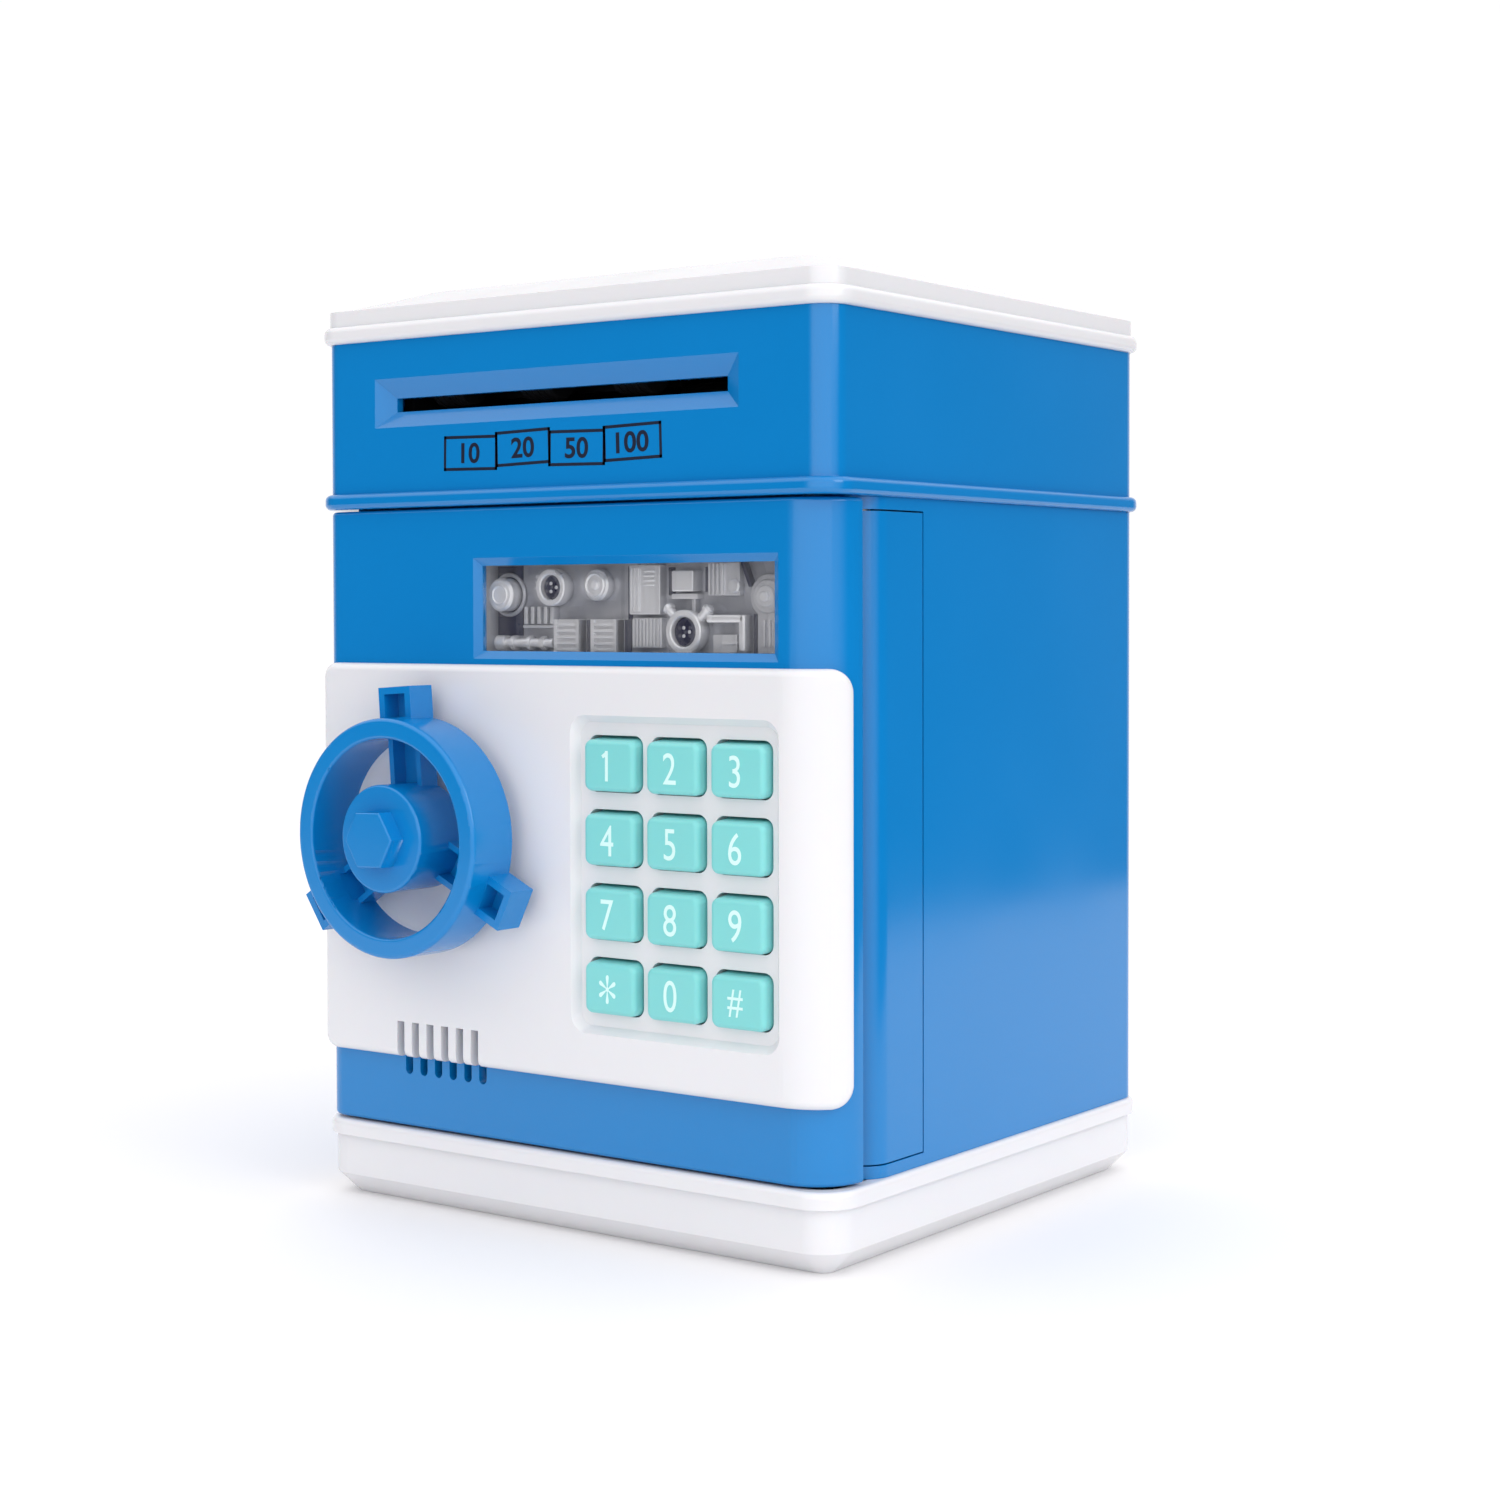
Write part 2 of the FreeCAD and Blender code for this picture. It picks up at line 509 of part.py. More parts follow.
def make_housing():
    shell = Piece("upper_housing")
    shell.pad("z", CABINET_TOP, HOUSING_TOP, body_outline("0", "corner_radius"))
    shell.pad("z", CABINET_TOP, f"{CABINET_TOP} + bead_height",
              body_outline("bead_reach", "corner_radius + bead_reach"))
    shell.dress("Fillet", "bead_height / 2.6",
                lambda box: box.ZMax < value(f"{CABINET_TOP} + bead_height + 0.1")
                and near(box.ZMin, box.ZMax, 0.01)
                and (near(box.XMin, f"{LEFT} - bead_reach", 7) or near(box.XMax, f"{RIGHT} + bead_reach",
                                                                       7))
                and outer_edge(box))
    shell.pocket("z", f"{CABINET_TOP} + ear_height", HOUSING_TOP,
                 body_outline("-wall", "corner_radius - wall"))
    left = "(slot_centre_x - slot_width / 2)"
    right = "(slot_centre_x + slot_width / 2)"
    low = f"({SLOT_Z} - slot_height / 2)"
    high = f"({SLOT_Z} + slot_height / 2)"
    shell.box((f"{left} - 4.6", f"{FRONT} + wall / 2", f"{low} - 5"),
              (f"{right} + 4.6", f"{FRONT} + wall + 1.6", f"{high} + 5"))
    shell.loft("SubtractiveLoft", "y", [
        (f"{FRONT} - 0.02", rectangle(f"{left} - 4.2", f"{right} + 4.2", f"{low} - 3.3",
                                      f"{high} + 4.0")),
        (f"{FRONT} + 2.3", rectangle(left, right, low, high))])
    shell.cut_box((left, f"{FRONT} + 2", low), (right, f"{FRONT} + wall + 3", high))
    for x, y in LID_SCREWS:
        shell.rod("z", (x, y), f"{CABINET_TOP} + 1", f"{HOUSING_TOP} - 3", 4)
        shell.hole("z", (x, y), f"{CABINET_TOP} - 1", f"{HOUSING_TOP} - 12", 3)
        shell.hole("z", (x, y), f"{HOUSING_TOP} - 13", f"{HOUSING_TOP} + 1", "screw_radius + 0.2")
    for x, y in HOUSING_SCREWS:
        shell.rod("z", (x, y), f"{CABINET_TOP} + 1", f"{CABINET_TOP} + 12", 3.5)
        shell.hole("z", (x, y), f"{CABINET_TOP} - 1", f"{CABINET_TOP} + 10", "screw_radius")
    shell.cut_box((-47, f"{ROLLER_Y} + 7", f"{CABINET_TOP} - 1"),
                  (20, f"{ROLLER_Y} + 26", f"{CABINET_TOP} + 4"))
    shell.cut_box((-19.3, COIN_Y - 4.3, f"{CABINET_TOP} - 1"), (19.3, COIN_Y + 4.3, f"{CABINET_TOP} + 4"))
    for x, y in DECK_SCREWS:
        shell.rod("z", (x, y), f"{CABINET_TOP} + 1", DECK_LOW, 3)
        shell.hole("z", (x, y), f"{CABINET_TOP} + 0.8", f"{DECK_LOW} + 1", "screw_radius")
    rods("housing_screws", "z", HOUSING_SCREWS,
         [(2.8, f"{CEILING} - 1.6", CEILING),
          ("screw_radius", f"{CEILING} - 0.4", f"{CABINET_TOP} + 9.5")])


def make_lid():
    lid = Piece("top_cover")
    step = f"({HOUSING_TOP} + lid_bead)"
    eave = f"({step} + lid_tier)"
    ridge = f"({eave} + lid_rise)"
    lid.pad("z", HOUSING_TOP, step, body_outline("bead_reach", "corner_radius + bead_reach"))
    lid.dress("Fillet", "lid_bead / 2.6", lambda box: near(box.ZMin, box.ZMax, 0.01))
    lid.pad("z", step, eave, body_outline("0.2", "corner_radius"))
    lid.loft("AdditiveLoft", "z", [
        (eave, body_outline("0.2 - 1.2", "corner_radius")),
        (ridge, body_outline("-lid_slope", "corner_radius"))])
    lid.pocket("z", HOUSING_TOP, f"{eave} - wall / 2", body_outline("-wall", "corner_radius - wall"))
    lid.loft("SubtractiveLoft", "z", [
        (f"{eave} - wall / 2 - 0.01", body_outline("-wall - 2", "corner_radius - wall")),
        (f"{ridge} - wall", body_outline("-lid_slope - 1", "corner_radius - wall"))])
    lid.cut_box(("-coin_length / 2", f"{COIN_Y} - coin_width / 2", step),
                ("coin_length / 2", f"{COIN_Y} + coin_width / 2", f"{ridge} + 1"))
    for x, y in LID_SCREWS:
        lid.rod("z", (x, y), f"{HOUSING_TOP} - 2.7", f"{eave} + lid_rise / 5", 3.6)
        lid.hole("z", (x, y), f"{HOUSING_TOP} - 3", f"{HOUSING_TOP} + 4", "screw_radius")
    rods("lid_screws", "z", LID_SCREWS,
         [(2.7, f"{HOUSING_TOP} - 14.2", f"{HOUSING_TOP} - 12"),
          ("screw_radius", f"{HOUSING_TOP} - 12.4", f"{HOUSING_TOP} + 3.6")])
    chute = Piece("coin_chute")
    chute.box((-19, COIN_Y - 4, f"{CEILING} + 0.2"), (19, COIN_Y + 4, f"{ridge} - wall - 0.3"))
    chute.box((-22, COIN_Y - 7, f"{CABINET_TOP} + ear_height"),
              (22, COIN_Y + 7, f"{CABINET_TOP} + ear_height + 1.6"))
    chute.cut_box((-17.4, COIN_Y - 2.4, CEILING), (17.4, COIN_Y + 2.4, f"{ridge} + 1"))


def make_door():
    shell = Piece("door_shell")
    shell.pad("z", DOOR_LOW, DOOR_HIGH,
              rectangle(LEFT, RIGHT, FRONT, DOOR_BACK, "corner_radius", "door_thick - 0.1", 0, 0))
    shell.dress("Fillet", 0.8, lambda box: near(box.ZMin, box.ZMax, 0.01)
                and box.YMin < value(f"{DOOR_BACK} - 0.1"))
    shell.pocket("z", f"{DOOR_LOW} + door_wall", f"{DOOR_HIGH} - door_wall",
                 rectangle(f"{LEFT} + door_wall", f"{RIGHT} - door_wall", f"{FRONT} + door_wall",
                           f"{DOOR_BACK} + 1",
                           "corner_radius - door_wall", "door_thick - door_wall", 0, 0))
    # Hinge barrel, the flap that closes the side of the cabinet, and the web to the door.
    shell.rod("z", (HINGE_X, HINGE_Y), BARREL_LOW, BARREL_HIGH, "barrel_radius")
    flap_in = f"({RIGHT} - wall)"
    shell.pad("z", BARREL_LOW, BARREL_HIGH, polygon(
        (RIGHT, HINGE_Y), (RIGHT, f"{HINGE_Y} + sqrt(flap_reach ^ 2 - barrel_radius ^ 2)"),
        (flap_in, f"{HINGE_Y} + sqrt(flap_reach ^ 2 - (barrel_radius - wall) ^ 2)"), (flap_in, HINGE_Y)))
    shell.box((f"{HINGE_X} - 4.3", f"{FRONT} + door_wall - 0.2", BARREL_LOW),
              (f"{HINGE_X} - 0.3", HINGE_Y, BARREL_HIGH))
    shell.hole("z", (HINGE_X, HINGE_Y), BARREL_LOW, "base_height + pin_length + 1.5",
               "pin_radius + running_gap")
    shell.hole("z", (HINGE_X, HINGE_Y), f"{CABINET_TOP} - pin_length - 1.5", BARREL_HIGH,
               "pin_radius + running_gap")
    # Window: a bevelled mouth and a straight opening.
    shell.loft("SubtractiveLoft", "y", [
        (f"{FRONT} - 0.02", rectangle("window_left - window_bevel", "window_right + window_bevel",
                                      "window_low - window_bevel", "window_high + window_bevel")),
        (f"{FRONT} + 1.1", rectangle("window_left", "window_right", "window_low", "window_high"))])
    shell.cut_box(("window_left", f"{FRONT} + 1", "window_low"),
                  ("window_right", f"{FRONT} + door_wall + 0.1", "window_high"))
    tray = tray_box("0.2")
    shell.cut_box((tray[0], f"{FRONT} - 1", tray[2]), (tray[1], f"{FRONT} + door_wall + 0.1", tray[3]))
    shell.hole("y", (DIAL_X, DIAL_Z), f"{FRONT} - 1", f"{FRONT} + door_wall + 1",
               "stem_radius + running_gap")
    for x, z in PANEL_PEGS:
        shell.hole("y", (x, z), f"{FRONT} - 1", f"{FRONT} + door_wall + 1", 2.7)
    for x, z in DOOR_SCREWS:
        shell.rod("y", (x, z), f"{FRONT} + 1", COVER_FACE, 3)
        shell.hole("y", (x, z), f"{FRONT} + 3", f"{COVER_FACE} + 1", "screw_radius")
    for x in SPEAKER_SLOTS:
        shell.cut_box((f"{x} - 1", f"{FRONT} - 1", "panel_low - 2.8"),
                      (f"{x} + 1", f"{FRONT} + door_wall + 0.1", "panel_low + 7.4"))
        shell.hole("y", (x, "panel_low - 2.8"), f"{FRONT} - 1", f"{FRONT} + door_wall + 0.1", 1)


def tray_box(grow):
    """Left, right, low and high edges of the panel's keypad block, grown by a clearance."""
    return (f"(half_pitch - keypad_width / 2 - 0.9 - {grow})",
            f"(half_pitch + keypad_width / 2 + {grow})",
            f"(key_centre_z - keypad_height / 2 - 1.2 - {grow})",
            f"(key_centre_z + keypad_height / 2 + 1.2 + {grow})")


def make_panel():
    panel = Piece("front_panel")
    outer = "(door_thick - 0.1 + panel_thick)"
    panel.pad("z", "panel_low", "panel_high", rectangle(
        "-panel_left", f"{RIGHT} + panel_thick", PANEL_FACE, f"{DOOR_BACK} + 1", 0, outer, 0, 0))
    panel.pocket("z", "panel_low - 1", "panel_high + 1", rectangle(
        "-panel_left - 5", RIGHT, FRONT, f"{DOOR_BACK} + 1", 0, "door_thick - 0.1", 0, 0))
    panel.cut_box((f"{RIGHT} - door_thick + 0.1", f"{DOOR_BACK} - 0.1", "panel_low - 1"),
                  (f"{RIGHT} + 20", f"{DOOR_BACK} + 30", "panel_high + 1"), spin=-20.0)
    end_face = f"({RIGHT} - door_thick + 8)"
    panel.dress("Fillet", 4.5, lambda box: near(box.ZMin, box.ZMax, 0.01) and box.XMin > value(end_face)
                and box.XMax - box.XMin < 3 and box.YMax - box.YMin < 1.5)
    panel.dress("Fillet", 1.6, lambda box: box.YMax < value(f"{FRONT} - 2") or (
        box.YMin < value(f"{PANEL_FACE} + 0.05") and box.XMax > value(end_face)
        and box.XMax - box.XMin > 9
        and near(box.ZMin, box.ZMax, 0.01) and box.XMax > value(f"{RIGHT} + 0.9")))
    tray = tray_box("0")
    panel.box((tray[0], f"{FRONT} - 0.5", tray[2]), (tray[1], PAD_BACK, tray[3]))
    mid_x, half_x, half_z = "half_pitch - 0.5", "keypad_width / 2", "keypad_height / 2"
    panel.loft("SubtractiveLoft", "y", [
        (f"{PANEL_FACE} - 0.02", rectangle(f"{mid_x} - {half_x}", f"{mid_x} + {half_x}",
                                           f"key_centre_z - {half_z}", f"key_centre_z + {half_z}", 3.5)),
        (PAD_FLOOR, rectangle(f"{mid_x} - {half_x} + 1.4", f"{mid_x} + {half_x} - 1.4",
                              f"key_centre_z - {half_z} + 1.4", f"key_centre_z + {half_z} - 1.4", 2.6))])
    for x in KEY_COLUMNS:
        for z in KEY_ROWS:
            wide, tall = "(key_width / 2 + gap)", "(key_height / 2 + gap)"
            panel.pocket("y", f"{PAD_FLOOR} - 0.1", f"{PAD_BACK} + 0.1",
                         rectangle(f"{x} - {wide}", f"{x} + {wide}", f"{z} - {tall}", f"{z} + {tall}", 2))
    for x in SPEAKER_SLOTS:
        panel.cut_box((f"{x} - 1", f"{PANEL_FACE} - 1", "panel_low - 1"),
                      (f"{x} + 1", f"{FRONT} + 1", "panel_low + 7.4"))
    panel.hole("y", (DIAL_X, DIAL_Z), f"{PANEL_FACE} - 1", f"{FRONT} + 1", "stem_radius + running_gap")
    for x, z in PANEL_PEGS:
        panel.rod("y", (x, z), f"{FRONT} - 0.5", f"{FRONT} + door_wall", 2.5)
        panel.hole("y", (x, z), f"{FRONT} - 0.8", f"{FRONT} + 6", 0.9)
    rods("panel_screws", "y", PANEL_PEGS,
         [(3.4, f"{FRONT} + door_wall", f"{FRONT} + door_wall + 1.2"),
          (0.85, f"{FRONT} - 0.7", f"{FRONT} + door_wall + 0.5")])


def make_keys():
    for n, name in enumerate(KEY_NAMES):
        x, z = KEY_COLUMNS[n % 3], KEY_ROWS[n // 3]
        key = Piece(f"key_{name}")
        wide, tall = "key_width / 2", "key_height / 2"
        key.pad("y", KEY_FACE, f"{PAD_BACK} + 0.3",
                rectangle(f"{x} - {wide}", f"{x} + {wide}", f"{z} - {tall}", f"{z} + {tall}", 1.7))
        key.dress("Fillet", 1.1, lambda box: near(box.YMin, KEY_FACE) and near(box.YMax, KEY_FACE))
        key.pad("y", f"{PAD_BACK} + 0.2", KEY_BACK,
                rectangle(f"{x} - {wide} - 0.8", f"{x} + {wide} + 0.8", f"{z} - {tall} - 0.8",
                          f"{z} + {tall} + 0.8", 1.5))
    sheet_left = f"({KEY_COLUMNS[0]} - key_width / 2 - 2)"
    sheet_right = f"({KEY_COLUMNS[2]} + key_width / 2 + 1)"
    sheet_low = f"({KEY_ROWS[3]} - key_height / 2 - 2)"
    sheet_high = f"({KEY_ROWS[0]} + key_height / 2 + 2)"
    membrane = Piece("keypad_membrane")
    membrane.box((sheet_left, f"{MEMBRANE_FACE} + 0.5", sheet_low), (sheet_right, BOARD_FACE, sheet_high))
    for x in KEY_COLUMNS:
        for z in KEY_ROWS:
            membrane.rod("y", (x, z), MEMBRANE_FACE, f"{MEMBRANE_FACE} + 0.6", 3.2)
    board = Piece("circuit_board")
    board.box((sheet_left, BOARD_FACE, sheet_low), (sheet_right, BOARD_BACK, f"{sheet_high} + 4"))
    for x, z in ((sheet_left, sheet_low), (sheet_right, sheet_low), (sheet_left, f"{sheet_high} + 4"),
                 (sheet_right, f"{sheet_high} + 4")):
        inward_x = f"{x} + 2.5" if x == sheet_left else f"{x} - 2.5"
        inward_z = f"{z} + 2.5" if z == sheet_low else f"{z} - 2.5"
        board.hole("y", (inward_x, inward_z), f"{BOARD_FACE} - 1", f"{BOARD_BACK} + 1", 1.1)
    parts = Piece("circuit_components")
    parts.rod("y", ("half_pitch", "key_centre_z"), BOARD_BACK, f"{BOARD_BACK} + 1.6", 8)
    for x, z, radius, rise in ((13, 94, 3.2, 6), (22, 96, 2.5, 5), (44, 50, 2, 4)):
        parts.rod("y", (x, z), BOARD_BACK, f"{BOARD_BACK} + {rise}", radius)
    for x, z, wide, tall, rise in ((38, 92, 8, 4, 3), (9, 44, 6, 10, 4), (14, 60, 4, 3, 1.5),
                                   (44, 84, 3, 5, 1.5)):
        parts.box((x, BOARD_BACK, z), (x + wide, f"{BOARD_BACK} + {rise}", z + tall))
    rods("indicator_leds", "y", [(12, 102), (46, 102)],
         [(1.5, BOARD_BACK, f"{BOARD_BACK} + 4"), (1.9, BOARD_BACK, f"{BOARD_BACK} + 1")])


def make_door_fittings():
    lens = Piece("window_lens")
    lens.box(("window_left + 0.1", f"{FRONT} + 1.1", "window_low + 0.1"),
             ("window_right - 0.1", f"{FRONT} + door_wall + 0.4", "window_high - 0.1"))
    lens.box(("window_left - 1.5", f"{FRONT} + door_wall", "window_low - 1.5"),
             ("window_right + 1.5", f"{FRONT} + door_wall + 0.8", "window_high + 1.5"))
    insert = Piece("machinery_insert")
    lens_back = f"({FRONT} + door_wall + 0.8)"
    plate = f"({COVER_FACE} - 1.4)"
    insert.box(("window_left - 2", plate, "window_low - 2"),
               ("window_right + 2", f"{COVER_FACE} - 0.2", "window_high + 2"))
    for x0, x1, z0, z1 in (("window_left - 2", "window_left - 0.8", "window_low - 2", "window_high + 2"),
                           ("window_right + 0.8", "window_right + 2", "window_low - 2",
                            "window_high + 2"),
                           ("window_left - 2", "window_right + 2", "window_low - 2", "window_low - 0.8"),
                           ("window_left - 2", "window_right + 2", "window_high + 0.8",
                            "window_high + 2")):
        insert.box((x0, lens_back, z0), (x1, f"{plate} + 0.2", z1))
    for x, z, radius, rise in ((5, 11.5, 3, 3.6), (24, 11.5, 2.9, 3.2), (33.5, 12.5, 2.7, 2.8),
                               (55, 5, 3.6, 3.4), (5, 2.6, 2, 2.6)):
        insert.rod("y", (f"window_left + {x}", f"window_low + {z}"), f"{plate} - {rise}",
                   f"{plate} + 0.3", radius)
    for x, z, wide, tall, rise in ((20, 1.2, 6.5, 6.5, 2.5), (28.5, 1.2, 6.5, 6.5, 2.5),
                                   (38, 8, 8, 8, 2.2), (38, 1, 8, 6, 1.8),
                                   (49, 11.5, 5, 4, 3), (61, 1, 9, 7, 2.2), (57, 10, 8, 6, 1.6)):
        insert.box((f"window_left + {x}", f"{plate} - {rise}", f"window_low + {z}"),
                   (f"window_left + {x + wide}", f"{plate} + 0.3", f"window_low + {z + tall}"))
    speaker = Piece("speaker")
    spot = (DIAL_X, "panel_low + 2")
    speaker.rod("y", spot, f"{FRONT} + door_wall", f"{FRONT} + door_wall + 2", "speaker_radius")
    speaker.rod("y", spot, f"{FRONT} + door_wall + 1.8", f"{COVER_FACE} - 0.3", "speaker_radius * 0.55")
    speaker.hole("y", spot, f"{FRONT} + door_wall - 1", f"{FRONT} + door_wall + 0.6",
                 "speaker_radius - 1.6")
    cover = Piece("door_back_cover")
    case_right = f"({HINGE_X} - 6.8)"
    edge = (f"({LEFT} + door_wall + gap)", f"({HINGE_X} - 4.6)", f"({DOOR_LOW} + door_wall + gap)",
            f"({DOOR_HIGH} - door_wall - gap)")
    case_low, case_high = f"({DOOR_LOW} + 10)", f"({DOOR_HIGH} - 10)"
    cover.box((edge[0], COVER_FACE, edge[2]), (edge[1], DOOR_BACK, edge[3]))
    cover.pad("y", f"{COVER_FACE} + 0.5", CASE_BACK,
              rectangle(CASE_LEFT, case_right, case_low, case_high, 4))
    cover.dress("Fillet", 1.5, lambda box: near(box.YMin, CASE_BACK) and near(box.YMax, CASE_BACK))
    cover.pocket("y", f"{COVER_FACE} - 1", f"{CASE_BACK} - 2",
                 rectangle(f"{CASE_LEFT} + 2", f"{case_right} - 2", f"{case_low} + 2", f"{case_high} - 2",
                           2))
    cover.cut_box((f"{CASE_LEFT} - 1", f"{BOLT_FACE} - gap", f"{BOLT_LOW} - gap"),
                  (f"{CASE_LEFT} + 3", f"{BOLT_BACK} + gap", f"{BOLT_TOP} + gap"))
    cover.rod("y", (DIAL_X, DIAL_Z), f"{BOLT_BACK} + 0.4", f"{CASE_BACK} - 1", 5)
    cover.hole("y", (DIAL_X, DIAL_Z), BOLT_BACK, f"{CASE_BACK} + 1", "shaft_radius + running_gap")
    for x, z in DOOR_SCREWS:
        cover.hole("y", (x, z), f"{COVER_FACE} - 1", f"{DOOR_BACK} + 1", "screw_radius + 0.2")
    rods("door_screws", "y", DOOR_SCREWS,
         [("screw_radius", f"{FRONT} + 4", DOOR_BACK), (2.6, DOOR_BACK, f"{DOOR_BACK} + 1.4")])


def dial_point(radius, degrees):
    """A place on the dial's face, from its axis, as formulas."""
    angle = math.radians(degrees + DIAL_TURN)
    across, up = math.cos(angle), math.sin(angle)
    return f"({DIAL_X} + {radius} * {across:.6f})", f"({DIAL_Z} + {radius} * {up:.6f})"


def bar(piece, kind, degrees, near_end, far_end, half, start, end):
    """A straight bar of the dial's face that runs outwards at an angle."""
    angle = math.radians(degrees + DIAL_TURN)
    out, side = (math.cos(angle), math.sin(angle)), (-math.sin(angle), math.cos(angle))
    corners = []
    for along, across in ((near_end, "-"), (far_end, "-"), (far_end, ""), (near_end, "")):
        corners.append((f"{DIAL_X} + ({along}) * {out[0]:.6f} + {across}({half}) * {side[0]:.6f}",
                        f"{DIAL_Z} + ({along}) * {out[1]:.6f} + {across}({half}) * {side[1]:.6f}"))
    getattr(piece, kind)("y", start, end, polygon(*corners))


def make_dial():
    dial = Piece("dial_wheel")
    spot = (DIAL_X, DIAL_Z)
    dial.rod("y", spot, RING_FACE, RING_BACK, "dial_radius")
    dial.dress("Fillet", 0.9, lambda box: near(box.YMin, box.YMax, 0.01))
    dial.hole("y", spot, f"{RING_FACE} - 1", f"{RING_BACK} + 1", "dial_radius - dial_ring_wall")
    dial.dress("Fillet", 0.6, lambda box: near(box.YMin, RING_FACE) and near(box.YMax, RING_FACE)
               and box.XMax - box.XMin < value("2 * (dial_radius - dial_ring_wall) + 0.1"))
    lug_face, lug_back = f"({RING_FACE} + 5.4)", f"({RING_BACK} - 0.1)"
    for degrees in (90, 210, 330):
        bar(dial, "pad", degrees, "hub_radius - 2", "dial_radius - dial_ring_wall + 1", "lug_width / 2",
            f"{RING_BACK} - 4.5", RING_BACK)
        bar(dial, "pad", degrees, "dial_radius - 2", "lug_reach", "lug_width / 2", lug_face, lug_back)
        bar(dial, "pocket", degrees, "dial_radius", "lug_reach - 1.4", "lug_width / 2 - 1.5",
            f"{lug_face} - 1", f"{lug_face} + 4")
        bar(dial, "pocket", degrees, "hub_radius - 0.5", "dial_radius - dial_ring_wall",
            "lug_width / 2 - 1.2",
            f"{RING_BACK} - 6", f"{RING_BACK} - 1.2")
    dial.rod("y", spot, HUB_FACE, RING_BACK, "hub_radius")
    dial.dress("Fillet", 0.6, lambda box: near(box.YMin, HUB_FACE) and near(box.YMax, HUB_FACE))
    dial.rod("y", spot, f"{RING_BACK} - 0.5", f"{FRONT} + door_wall", "stem_radius")
    corner = "(hex_flats / 1.7320508)"
    dial.pad("y", f"{HUB_FACE} - hex_proud", f"{HUB_FACE} + 0.5",
             polygon(*[dial_point(corner, 60 * n - DIAL_TURN + 2) for n in range(6)]))
    dial.dress("Fillet", 0.4, lambda box: near(box.YMin, f"{HUB_FACE} - hex_proud")
                and near(box.YMax, f"{HUB_FACE} - hex_proud"))
    dial.hole("y", spot, f"{RING_BACK} - 6", f"{FRONT} + door_wall + 1", "shaft_radius")
    shaft = Piece("dial_shaft")
    shaft.rod("y", spot, f"{RING_BACK} - 5.8", f"{CASE_BACK} - 0.2", "shaft_radius")
    pinion = toothed(PINION_TEETH, GEAR_MODULE, value("shaft_radius"), value("bolt_depth"))
    spin = FreeCAD.Rotation(FreeCAD.Vector(0, 1, 0), 180 / PINION_TEETH)
    loose_shape("drive_pinion", pinion, FreeCAD.Placement(
        FreeCAD.Vector(value(DIAL_X), value(BOLT_FACE), value(DIAL_Z)), spin.multiply(TURN["y"])))
    collar = Piece("shaft_collar")
    collar.rod("y", spot, f"{BOLT_FACE} - 2.2", BOLT_FACE, 3.6)
    collar.hole("y", spot, f"{BOLT_FACE} - 3", f"{BOLT_FACE} + 1", "shaft_radius")


def make_latch():
    """The bolt carries a rack on its top edge, under the pinion, and two notches for the plunger."""
    travel = math.pi / 2 * value(PITCH_RADIUS)
    tip, end = BOLT_TIP, f"({DIAL_X} + 16.5)"
    bolt = Piece("latch_bolt")
    bolt.box((tip, BOLT_FACE, BOLT_LOW), (end, BOLT_BACK, BOLT_TOP))
    pitch = math.pi * GEAR_MODULE
    lean = math.tan(math.radians(20)) * GEAR_MODULE
    half = (pitch / 2 - BACKLASH) / 2
    for n in range(-1, 5):
        middle = f"({DIAL_X} + {n * pitch:.6f})"
        bolt.pad("y", BOLT_FACE, BOLT_BACK, polygon(
            (f"{middle} - {half + 1.25 * lean:.6f}", BOLT_TOP),
                                                    (f"{middle} + {half + 1.25 * lean:.6f}", BOLT_TOP),
            (f"{middle} + {half - 0.8 * lean:.6f}", f"{RACK_LINE} + {0.8 * GEAR_MODULE}"),
            (f"{middle} - {half - 0.8 * lean:.6f}", f"{RACK_LINE} + {0.8 * GEAR_MODULE}")))
    for shift in (0, travel):
        x = f"({PLUNGER_X} + {shift:.6f})"
        bolt.cut_box((f"{x} - 2.3", f"{BOLT_FACE} - 1", f"{BOLT_LOW} - 1"),
                     (f"{x} + 2.3", f"{BOLT_BACK} + 1", f"{BOLT_LOW} + 4.2"))
    bolt.dress("Fillet", 0.8, lambda box: near(box.XMin, tip) and near(box.XMax, tip))
    chassis = Piece("lock_chassis")
    rail_top = f"({BOLT_LOW} - gap)"
    chassis.box((f"{CASE_LEFT} + 2.2", f"{DOOR_BACK} + 0.2", f"{rail_top} - 24"),
                (f"{DIAL_X} + 18", f"{DOOR_BACK} + 1.6", f"{DIAL_Z} + 8"))
    chassis.box((f"{CASE_LEFT} + 2.2", f"{DOOR_BACK} + 1.4", f"{rail_top} - 2"),
                (f"{DIAL_X} + 18", f"{CASE_BACK} - 2.2", rail_top))
    chassis.hole("y", (DIAL_X, DIAL_Z), f"{DOOR_BACK} - 1", f"{DOOR_BACK} + 3", 2.4)
    chassis.hole("z", (PLUNGER_X, PLUNGER_Y), f"{rail_top} - 3", f"{rail_top} + 1", 2.3)
    solenoid = Piece("lock_solenoid")
    solenoid.box((f"{PLUNGER_X} - 7", f"{DOOR_BACK} + 1.6", f"{rail_top} - 20"),
                 (f"{PLUNGER_X} + 7", f"{CASE_BACK} - 2.4", f"{rail_top} - 2"))
    solenoid.hole("z", (PLUNGER_X, PLUNGER_Y), f"{rail_top} - 17", f"{rail_top} - 1", "1.9 + running_gap")
    plunger = Piece("solenoid_plunger")
    plunger.rod("z", (PLUNGER_X, PLUNGER_Y), f"{rail_top} - 16.5", f"{rail_top} - 0.3", 1.9)


